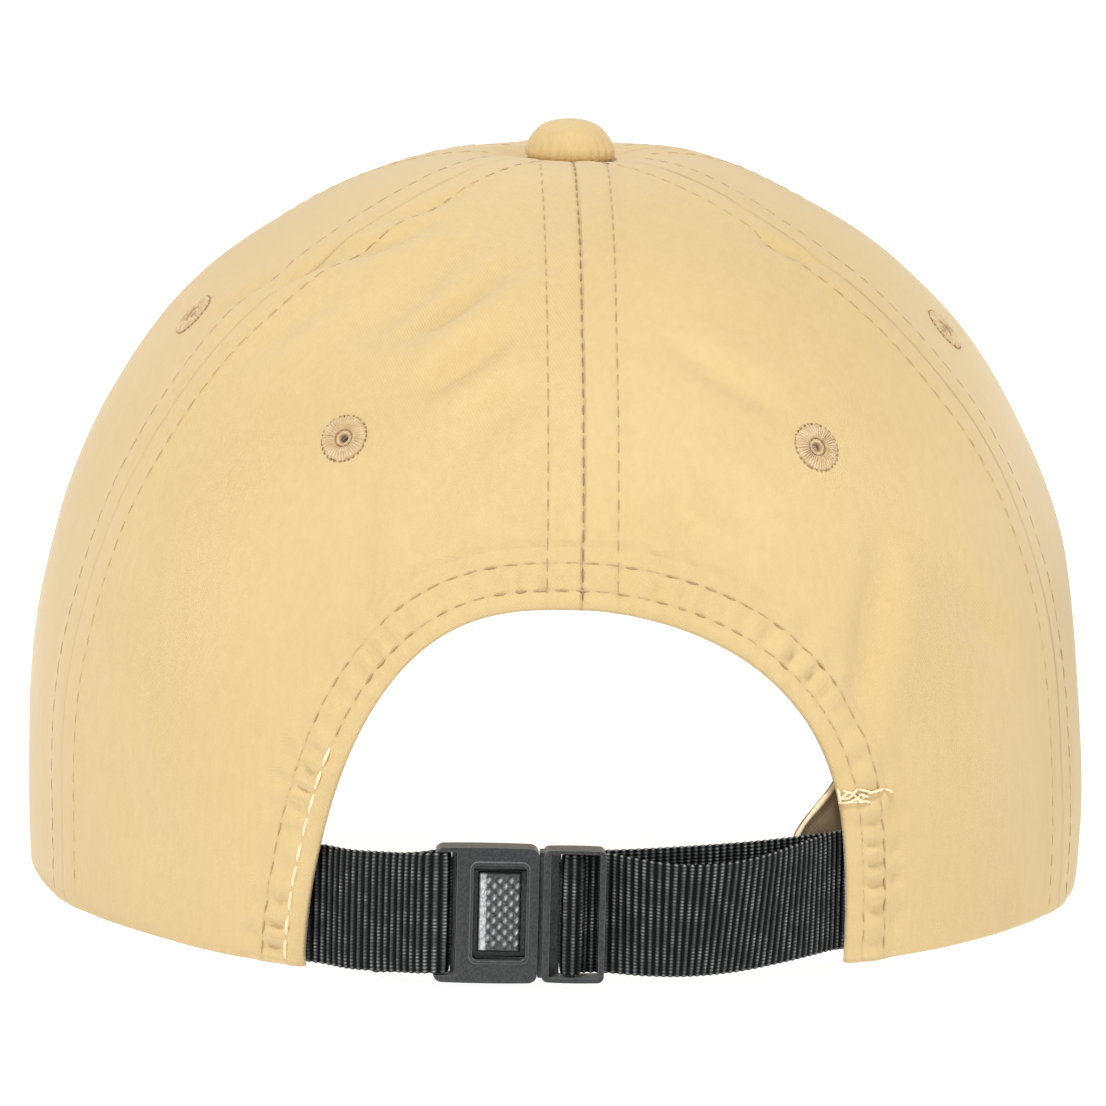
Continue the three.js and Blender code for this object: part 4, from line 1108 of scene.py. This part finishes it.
def make_buckram():
    """Stiff mesh behind each front panel, between the seam tapes and round the eyelet's hole."""
    seam = math.radians(FRONT_SIDE_SEAM)
    part, rise = np.linspace(0, 1, 60)[:, None], np.linspace(0, 1, 70)[None]
    low = climb_of(rim_height(seam + (math.pi - seam) * part)) + 1.0
    climb = low + rise * (climb_of(118.0) - low)
    z = height_of(climb)
    inset = (TAPE_HALF + 0.4) / (radius_at(z) * MEAN_AXIS)
    for sign, side in ((1, "left"), (-1, "right")):
        angle = sign * (seam + inset + (math.pi - seam - 2 * inset) * part)
        hole = eyelet_centre("front", sign)
        uv = np.stack([(angle * MEAN_AXIS).ravel(), climb.ravel()], -1)
        points, faces, uv = lining_strip(angle, z, 0.55, uv,
                                         keep=lambda middle: np.linalg.norm(middle - hole, axis=1) > 2.8)
        piece("buckram_sheet_" + side, points, faces, BUCKRAM, slot="buckram", uv=uv,
              instead_of=["buckram_" + side])


def band_section():
    """The sweatband's section: depth inside the crown and height above its lower edge."""
    near, far, low, high = 3.7, 6.3, 1.2, 29.8
    middle, half = (near + far) / 2, (far - near) / 2
    rise = np.linspace(0, 1, 22)
    bend = np.linspace(0, math.pi, 9)[1:-1]
    section = [(near, low + (high - low) * h) for h in rise]
    section += [(middle - half * math.cos(t), high + half * math.sin(t) * 0.75) for t in bend]
    section += [(far, high - (high - low) * h) for h in rise]
    section += [(middle + half * math.cos(t), low - half * math.sin(t) * 0.75) for t in bend]
    return np.array(section)


def make_sweatband():
    """A padded band with rolled edges, held by its lower seam, slightly wavy at its free top."""
    start, columns, stitch_height = math.radians(39.5), 300, 27.2
    angle = wrapped(np.linspace(start, TAU - start, columns))
    run = (1.9 * np.arange(columns))[:, None]
    section = band_section()
    depth, height = np.broadcast_arrays(*section.T[:, None], run)[:2]
    inner = smooth(5.0, 6.2, depth)
    puff = 0.35 * np.sin(np.clip(height / 30, 0, 1) * math.pi)
    puff = puff - 0.28 * bump(height, stitch_height, 0.8) - 0.25 * bump(height, 3.4, 0.8)
    depth = depth + inner * puff
    depth = depth + smooth(4, 30, height) * (0.35 * np.sin(run / 17.0 + 1) + 0.2 * np.sin(run / 6.3))
    depth = depth + inner * 0.1 * np.sin(run * TAU / 4.0) * bump(height, 28.4, 1.6)
    z = (rim_height(angle, 3.9) + 0.6)[:, None] + height
    out = crown_normal(angle[:, None] + 0 * z, z)
    out[..., 2] = 0
    out = unit(out)
    points = crown(angle[:, None] + 0 * z, z) - out * depth[..., None]
    rows = len(section)
    uv = np.stack([np.repeat(run, rows), height.ravel() + depth.ravel()], -1)
    band = piece("sweatband", points.reshape(-1, 3), bar_faces(columns, rows), BAND, slot="sweatband", uv=uv,
                 instead_of=["sweatband_cover", "sweatband_padding"])
    row = np.argmin(np.abs(section[:, 1] - stitch_height) + 10 * (section[:, 0] < 6))
    seam = row_on_line(points[:, row], -out[:, row], 2.6, 0.8, 301, 0.36)
    piece("sweatband_stitching", *seam, SHADED_ROW_THREAD, slot="thread")


def make_pocket():
    """The cloth pocket behind the strap's right end, with a pale folded leading edge."""
    part = np.concatenate([[0, 0.01, 0.03, 0.06], np.linspace(0.1, 1, 24)])[:, None]
    z = np.linspace(8.0, 34.0, 44)
    lead = -(ARCH_RIGHT[0] - 9.0 + 7.5 * smooth(21.5, 34, z))
    back = -HALF_WIDTH * math.sin(math.radians(36)) * 0.95
    x = lead + (back - lead) * part
    z = z + 0 * x
    depth = 5.1 + 0.35 * np.sin(z / 5.0 + x / 9.0)
    roll = 0.42 * bump(part, 0.03, 0.05)
    angle = angle_at(x, z, depth)
    skin, normal = crown(angle, z), crown_normal(angle, z)
    near = skin - normal * (depth - 0.5 * roll)[..., None]
    far = skin - normal * (depth + 0.5 + roll)[..., None]
    cloth = thicken(near.reshape(-1, 3), far.reshape(-1, 3), grid_faces(*x.shape))
    uv = np.stack([x.ravel(), z.ravel()], -1)
    piece("pocket_cloth", *cloth, SHADED_INSIDE, slot="lining", uv=np.concatenate([uv, uv]),
          instead_of=["tail_pocket"])
    edge = follow(np.linspace(0, 43, 90), np.arange(44), near[1])
    thickness = 0.42 + 0.06 * wander(run_along(edge), 9, 7)
    piece("pocket_edge", *tube(edge, thickness, 8, np.array([0.0, 1.0, 0.0])), CREAM_THREAD, slot="lining")


# ------------------------------------------------------------------ visor

ROW_STEP = 6.0
VISOR_ROWS = 3.5 + ROW_STEP * np.arange(8)
VISOR_MARGIN = 1.2


def visor_plan(columns):
    """From above: where the visor's cloth starts, just inside the crown, and its outer edge."""
    t = np.linspace(0.004, 0.996, columns)
    angle = wrapped(np.radians(FRONT_SIDE_SEAM + (360 - 2 * FRONT_SIDE_SEAM) * t))
    height = np.full(columns, 18.0)
    out = crown_normal(angle, height)
    out[:, 2] = 0
    return (crown(angle, height) - unit(out) * 1.5)[:, :2], np.stack(visor_outline(t), -1)


def visor_skin(inner, outer, width):
    """Rings of the visor's cloth: the upper face, the rounded outer edge and the under face."""
    wide = np.maximum(width, 3)
    flat_end = 1 - VISOR_MARGIN / wide
    part = np.linspace(0, 1, 60)
    rings, uv = [], []

    def face(p, upper):
        spot = inner + (outer - inner) * p * flat_end[:, None]
        edge = width * (1 - p) + VISOR_MARGIN
        row = bump(np.min(np.abs(edge[:, None] - VISOR_ROWS), axis=1), 0, 0.55)
        swell = 0.16 * np.cos((edge - VISOR_ROWS[0]) / ROW_STEP * TAU + math.pi) * smooth(0, 3.5, edge)
        raised = np.where(edge < 48, swell - 0.22 * row, -0.1)
        top = visor_top(*spot.T)
        z = top + raised if upper else top - VISOR_THICKNESS - 0.6 * raised
        rings.append(np.column_stack([spot, z]))
        uv.append(np.column_stack([spot[:, 0] + (0 if upper else 300), edge]))

    for p in part:
        face(p, True)
    for turn in np.linspace(0, math.pi, 13)[1:-1]:
        spot = inner + (outer - inner) * (flat_end + 1.35 * math.sin(turn) / wide)[:, None]
        z = visor_top(*spot.T) - VISOR_THICKNESS / 2 * (1 - math.cos(turn))
        rings.append(np.column_stack([spot, z]))
        uv.append(np.column_stack([spot[:, 0] + 100 * turn, -2 * turn + 0 * z]))
    for p in part[::-1]:
        face(p, False)
    return np.stack(rings, 1), np.stack(uv, 1)


def visor_rows(inner, outer, width):
    threads = []
    for n, distance in enumerate(VISOR_ROWS):
        ok = width > distance + 4
        if ok.sum() < 12:
            continue
        share = (1 - (distance - VISOR_MARGIN) / width[ok]) * (1 - VISOR_MARGIN / width[ok])
        spot = inner[ok] + (outer - inner)[ok] * share[:, None]
        top = visor_top(*spot.T)
        for upper in (1, 0):
            line = np.column_stack([spot, top - 0.2 if upper else top - VISOR_THICKNESS + 0.12])
            normals = np.tile([0.0, 0.0, 1.0 if upper else -1.0], (len(line), 1))
            threads.append(row_on_line(line, normals, 2.6, 0.8, 400 + 2 * n + upper, 0.4, sides=5))
    return merge(threads)


def make_visor():
    """Cloth over the board on both faces, with curved rows of stitching."""
    inner, outer = visor_plan(200)
    width = np.linalg.norm(outer - inner, axis=1)
    points, uv = visor_skin(inner, outer, width)
    cloth = piece("visor_cloth", points.reshape(-1, 3), bar_faces(*points.shape[:2]), PLAIN_CLOTH,
                  uv=uv.reshape(-1, 2), instead_of=["visor_upper_cover", "visor_under_cover"])
    cover_with("visor_board", BOARD)
    piece("visor_stitching", *visor_rows(inner, outer, width), SHADED_ROW_THREAD, slot="thread")


# ------------------------------------------------------------------ webbing

STRAP_STEP = 0.14
STRAP_HALF = 9.75


def rounded_path(path, times=3):
    for _ in range(times):
        a, b = path[:-1], path[1:]
        cut = np.stack([0.75 * a + 0.25 * b, 0.25 * a + 0.75 * b], 1).reshape(-1, path.shape[1])
        path = np.concatenate([path[:1], cut, path[-1:]])
    return path


def webbing(name, path, pitch, seed, **options):
    """A flat woven strap along a plan path of x, y, lift and lean, with cross ribs and round edges."""
    path = rounded_path(np.array([(*p, 0.0, 0.0)[:4] for p in path], float))
    length = run_along(path[:, :2])
    run = np.arange(0, length[-1], STRAP_STEP)
    line = follow(run, length, path)
    lean = np.radians(line[:, 3:4])
    tangent = unit(np.gradient(line[:, :2], axis=0))
    normal = np.stack([-tangent[:, 1], tangent[:, 0]], -1)
    across = np.linspace(-1, 1, 43)
    across = np.sign(across) * (1 - (1 - np.abs(across)) ** 1.25)
    phase = run * TAU / pitch + 0.5 * wander(run, seed, 30)
    rib = (0.5 + 0.5 * np.cos(phase))[:, None]
    dots = np.sin(across * STRAP_HALF * TAU / 0.72 + 2.4 * np.floor(phase / TAU)[:, None])
    grid, uv, shade = [], [], []
    for side in (1, -1):
        order, lump = across[::side], dots[:, ::side]
        edge = np.sqrt(np.maximum(0, 1 - np.abs(order) ** 7))
        thick = 0.24 + edge * (0.3 * rib + 0.035 * lump * rib) - 0.12 * (1 - edge)
        selvedge = 0.16 * rib * np.abs(order) ** 12 * np.sign(order)
        reach = STRAP_HALF * order + selvedge
        z = STRAP_Z + line[:, 2:3] + reach * np.cos(lean)
        xy = line[:, None, :2] + normal[:, None] * (side * thick + reach * np.sin(lean))[..., None]
        grid.append(np.concatenate([xy, z[..., None]], -1))
        uv.append(np.stack([run[:, None] + 0 * z, STRAP_HALF * order + 0 * z], -1))
        # The rib value is the mask for the material's painted shade in the gaps and painted highlights on the
        # crests.
        shade.append(rib + 0 * z)
    points = np.concatenate(grid, 1)
    return piece(name, points.reshape(-1, 3), bar_faces(*points.shape[:2]), WEBBING, slot="webbing",
                 uv=np.concatenate(uv, 1).reshape(-1, 2), shade=np.concatenate(shade, 1).ravel(), **options)


def inside_rim(degrees, depth):
    angle = math.radians(degrees)
    return tuple((crown(angle, STRAP_Z) - crown_normal(angle, STRAP_Z) * depth)[:2])


def by_buckle(*points):
    """Plan points given from the middle of the buckle in y."""
    return [(x, BUCKLE_Y + y, *rest) for x, y, *rest in points]


def make_straps():
    """Left: from under the rim round the socket's bar and back. Right: from under the rim round the
    plug's bar and back over itself to the rim."""
    left = [(*inside_rim(a, 3.2), -1.9) for a in (37, 34, 31, 27.8)]
    left += by_buckle((36.4, -9.3, -1.8), (30.5, -4.5, -1.1), (25.6, 0.3, -0.4), (23.6, 1.9), (21.5, 1.9),
                      (20.7, 0.9), (20.7, -0.6), (20.7, -2.3), (20.8, -3.5), (21.4, -4.0),
                      (23.8, -3.4, -0.6), (27.2, -5.3, -1.3), (32.4, -9.1, -2.2))
    webbing("webbing_left", left, 1.4, 501, instead_of=["strap_left"])
    right = [(*inside_rim(a, 4.4), 1.2) for a in (-36.5, -33, -29.5)]
    right += by_buckle((-36, -11.7, 1.2), (-28, -7.5, 1.0), (-18, -4.9, 0.6), (-8, -3.1, 0.2), (0.6, -2.6),
                       (1.9, -2.2), (2.15, -1.2), (2.15, 1.0), (1.6, 1.75), (-0.1, 1.75), (-0.6, 1.0),
                       (-0.6, -0.2), (-1.6, -0.95), (-5.4, -0.95), (-10, 0.3, -0.5, -7),
                       (-18, 0.3, -1.1, -14), (-27, -2.5, -0.6, -12), (-35, -7.7, 0.7, -5),
                       (-40.5, -12.9, 1.4))
    right += [(*inside_rim(a, 2.9), 1.6) for a in (-29.5, -34, -39, -43.5)]
    strap = webbing("webbing_right", right, 1.2, 502, body=None, instead_of=["strap_right"])
    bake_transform(strap)


# ------------------------------------------------------------------ buckle

def plate(x0, x1, y0, y1, z0, z1, corner=0.0):
    """A plate with rounded corners in X and Z; y and z are from the middle of the buckle."""
    bm = bmesh.new()
    outline = []
    for cx, cz, start in ((x1 - corner, z1 - corner, 0), (x0 + corner, z1 - corner, 90),
                          (x0 + corner, z0 + corner, 180), (x1 - corner, z0 + corner, 270)):
        for step in range(6 if corner else 1):
            a = math.radians(start + 18 * step)
            outline.append((cx + corner * math.cos(a), STRAP_Z + cz + corner * math.sin(a)))
    low, high = ([bm.verts.new((x, BUCKLE_Y + y, z)) for x, z in outline] for y in (y0, y1))
    bm.faces.new(low)
    bm.faces.new(high[::-1])
    for k in range(len(outline)):
        n = (k + 1) % len(outline)
        bm.faces.new((low[n], low[k], high[k], high[n]))
    bmesh.ops.recalc_face_normals(bm, faces=bm.faces)
    return bm


def temporary(bm):
    mesh = bpy.data.meshes.new("temporary")
    bm.to_mesh(mesh)
    bm.free()
    obj = bpy.data.objects.new("temporary", mesh)
    bpy.context.scene.collection.objects.link(obj)
    return obj


def carve(body, cutters, joined=()):
    """The body with boxes cut away and others joined on, as a bmesh."""
    obj = temporary(body)
    helpers = []
    for operation, boxes in (("UNION", joined), ("DIFFERENCE", cutters)):
        for values in boxes:
            other = temporary(plate(*values))
            helpers.append(other)
            step = obj.modifiers.new("carve", "BOOLEAN")
            step.operation, step.solver, step.object = operation, "EXACT", other
    bpy.context.view_layer.update()
    shown = obj.evaluated_get(bpy.context.evaluated_depsgraph_get())
    bm = bmesh.new()
    bm.from_mesh(shown.to_mesh())
    shown.to_mesh_clear()
    for other in [obj, *helpers]:
        mesh = other.data
        bpy.data.objects.remove(other)
        bpy.data.meshes.remove(mesh)
    return bm


def finish_part(name, bm, body, material, node, radius=0.3, bow=None, step=1.6):
    """Rounds the hard edges, cuts the faces small enough to bow, and makes the piece."""
    bmesh.ops.remove_doubles(bm, verts=bm.verts, dist=1e-4)
    bmesh.ops.dissolve_limit(bm, angle_limit=0.01, verts=bm.verts, edges=bm.edges)
    hard = [e for e in bm.edges if len(e.link_faces) == 2 and e.calc_face_angle(0) > 0.6]
    bmesh.ops.bevel(bm, geom=hard, offset=radius, segments=3, profile=0.55, affect="EDGES",
                    clamp_overlap=True)
    low = np.array([v.co for v in bm.verts]).min(0)
    high = np.array([v.co for v in bm.verts]).max(0)
    for axis, plane in ((0, Vector((1, 0, 0))), (2, Vector((0, 0, 1)))):
        for at in np.arange(low[axis] + step, high[axis], step):
            everything = bm.verts[:] + bm.edges[:] + bm.faces[:]
            bmesh.ops.bisect_plane(bm, geom=everything, plane_co=plane * at, plane_no=plane, dist=1e-5)
    bmesh.ops.triangulate(bm, faces=[f for f in bm.faces if len(f.verts) > 4])
    if bow:
        for v in bm.verts:
            v.co = bow(v.co)
    bm.verts.index_update()
    bm.normal_update()
    # Painted highlight: the rounded edges, and at 0.6 the upward faces, take the lighter colour through the
    # shade mask.
    rounded = smooth(0.02, 0.2, np.array([1 - max(abs(k) for k in v.normal) for v in bm.verts]))
    top_highlight = smooth(0.6, 0.95, np.array([v.normal.z for v in bm.verts]))
    points = np.array([v.co for v in bm.verts])
    faces = [[v.index for v in f.verts] for f in bm.faces]
    bm.free()
    made = piece(name, points, faces, material, body=body, slot="buckle", instead_of=[node] if node else (),
                 shade=np.maximum(rounded, 0.6 * top_highlight))
    made.data.set_sharp_from_angle(angle=math.radians(38))
    return made


def bowed(middle_x, half_x, amount, half_z=11.6):
    """Pushes the outer face out a little in the middle, and the top and bottom edges apart."""
    def move(co):
        up = (co.z - STRAP_Z) / half_z
        along = (co.x - middle_x) / half_x
        outside = max(0.0, (co.y - BUCKLE_Y) / 2.3)
        co = co.copy()
        co.y += amount * outside * (1 - up * up) * (1 - 0.5 * along * along)
        co.y -= 0.35 * outside * abs(up) ** 4
        co.z += 0.15 * (1 if up > 0 else -1) * abs(up) ** 3 * (1 - along * along)
        return co
    return move


DEEP = 4.0  # a cut's end outside the buckle's faces
BAY = (-10.15, 10.05)  # the height of the webbing's slots


def make_socket():
    lip = (7.7, 17.3, 1.6, 2.65, -8.0, 8.6, 1.2)
    cuts = [
        (5.0, 18.4, -1.15, 1.15, -8.6, 8.6),
        (8.2, 16.8, 0.0, DEEP, -7.5, 8.1, 0.9),
        (19.5, 21.25, -0.3, DEEP, *BAY),
        (20.2, 21.25, -DEEP, 0.0, *BAY),
        (21.2, 24.0, 1.1, DEEP, *BAY),
        (21.2, 24.0, -DEEP, -1.1, *BAY),
    ]
    bm = carve(plate(6.2, 23.0, -2.3, 2.3, -11.25, 10.85, 1.4), cuts, [lip])
    finish_part("buckle_socket_shell", bm, "cap", PLASTIC, "buckle_socket", 0.36, bowed(14.6, 8.4, 0.45))


def make_plug():
    cuts = [
        (1.5, 4.35, -0.5, DEEP, *BAY),
        (1.5, 2.6, -DEEP, -0.3, *BAY),
        (-3.6, 0.1, -DEEP, DEEP, *BAY),
        (0.0, 1.6, -DEEP, -1.1, *BAY),
        (0.0, 1.6, 0.9, DEEP, *BAY),
        (-5.6, -3.5, -DEEP, -0.1, *BAY),
    ]
    prongs = [(5.0, 17.6, -0.9, 0.9, middle - 0.5, middle + 0.5) for middle in (-7.8, 7.8)]
    neck = (5.2, 6.1, -1.9, 1.3, -10.5, 10.2)
    bm = carve(plate(-4.6, 5.5, -2.2, 2.75, -10.95, 10.65, 1.0), cuts, [*prongs, neck])
    finish_part("buckle_plug_shell", bm, "plug", PLASTIC, "buckle_plug", 0.26, bowed(0.5, 5.1, 0.3))


def make_latch():
    """The press pad: a smooth strip on one side and staggered knurling on the rest."""
    left, right, low, high = 9.0, 16.0, -6.3, 6.9
    x, z = np.meshgrid(np.linspace(left, right, 86), np.linspace(low, high, 160), indexing="ij")
    # Painted shade mask: dark in the knurled area between the studs, clear on the stud tips and the smooth
    # strip.
    height, pit_shade = 1.62 + 0 * x, 0.88 * (1 - smooth(14.5, 14.8, x))
    pitch_x, pitch_z = 0.93, 0.94
    for i in range(6):
        for k in range(6):
            across = x - (9.65 + i * pitch_x)
            up = z - (2 * k + i % 2) * pitch_z + 4.9
            gap = np.hypot(across, 0.85 * up + 0.4 * across)
            height += 0.5 * bump(gap, 0, 0.3) - 0.25 * bump(gap, 0.56, 0.2)
            pit_shade = np.minimum(pit_shade, 1 - bump(gap, 0, 0.4))
    edge = np.minimum(np.minimum(x - left, right - x), np.minimum(z - low, high - z))
    height += 0.12 * (1 - (z / 7) ** 2) - 0.5 * (1 - smooth(0, 0.55, edge)) ** 2
    front, rear = (np.stack([x, BUCKLE_Y + y, STRAP_Z + z], -1).reshape(-1, 3) for y in (height, 0.5 + 0 * x))
    pad = thicken(front, rear, grid_faces(*x.shape)[:, ::-1])
    # Painted shade also round the pad's edge and on its back face.
    pit_shade = np.maximum(pit_shade, 1 - smooth(0.1, 0.5, edge)).ravel()
    piece("buckle_pad", *pad, PAD_PLASTIC, body="latch", slot="buckle", instead_of=["buckle_latch"],
          shade=np.concatenate([pit_shade, 1 + 0 * pit_shade]))
    finish_part("buckle_tongue", plate(5.9, 17.2, 0.15, 0.95, -7.0, 7.0, 0.5), "latch", PLASTIC, None, 0.15)


# ------------------------------------------------------------------ camera, light and floor

def make_camera():
    """A long lens behind and a little above the cap, turned and tilted slightly."""
    aim = Vector((0.0012, SHIFT_Y / 1000, 0.0553))
    distance, lift, turn, roll = 1.8, math.radians(9.02), math.radians(2.3), math.radians(-1.4)
    back = Vector((math.sin(turn) * math.cos(lift), math.cos(turn) * math.cos(lift), math.sin(lift)))
    right = (-back).cross(Vector((0, 0, 1))).normalized()
    up = right.cross(-back)
    side = right * math.cos(roll) - up * math.sin(roll)
    top = up * math.cos(roll) + right * math.sin(roll)
    camera = bpy.data.objects.new("camera", bpy.data.cameras.new("camera"))
    camera.data.lens, camera.data.sensor_width = 344.5, 36.0
    camera.data.clip_start, camera.data.clip_end = 0.05, 60
    heading = Matrix((side, top, back)).transposed().to_4x4()
    camera.matrix_world = Matrix.Translation(aim + back * distance) @ heading
    bpy.context.scene.collection.objects.link(camera)
    bpy.context.scene.camera = camera


def add_light(name, place, aim, size, power):
    light = bpy.data.lights.new(name, "AREA")
    light.shape, light.size, light.energy = "DISK", size, power
    obj = bpy.data.objects.new(name, light)
    obj.location = place
    obj.rotation_euler = (Vector(aim) - Vector(place)).to_track_quat("-Z", "Y").to_euler()
    bpy.context.scene.collection.objects.link(obj)


def make_studio():
    scene = bpy.context.scene
    scene.view_settings.view_transform = "Standard"
    world = scene.world or bpy.data.worlds.new("studio")
    scene.world = world
    world.use_nodes = True
    tree = world.node_tree
    background = tree.nodes["Background"]
    background.inputs[0].default_value = (1, 1, 1, 1)
    height = tree.nodes.new("ShaderNodeSeparateXYZ")
    tree.links.new(tree.nodes.new("ShaderNodeTexCoord").outputs["Generated"], height.inputs[0])
    dome = tree.nodes.new("ShaderNodeMapRange")
    for socket, value in ((1, 0.16), (2, 0.42), (3, 1.0), (4, 0.22)):
        dome.inputs[socket].default_value = value
    tree.links.new(height.outputs[2], dome.inputs[0])
    tree.links.new(dome.outputs[0], background.inputs[1])
    middle = (0, SHIFT_Y / 1000, 0.07)
    add_light("key", (0.34, 0.95, 1.55), middle, 0.35, 22)
    add_light("side_left", (1.5, 0.3, 0.75), middle, 1.2, 1.0)
    add_light("side_right", (-1.5, 0.6, 0.75), middle, 1.2, 6.5)
    add_light("front", (0.2, -1.3, 1.2), middle, 1.0, 8)
    bpy.ops.mesh.primitive_circle_add(vertices=96, radius=9.0, fill_type="NGON", location=(0, 0, 0))
    floor = bpy.context.object
    floor.name = "floor"
    floor.data.materials.append(floor_look())


make_camera()
make_studio()
make_crown()
make_crown_stitches()
make_eyelets()
make_button()
make_tapes()
make_facing()
make_buckram()
make_sweatband()
make_pocket()
make_visor()
make_straps()
make_socket()
make_plug()
make_latch()
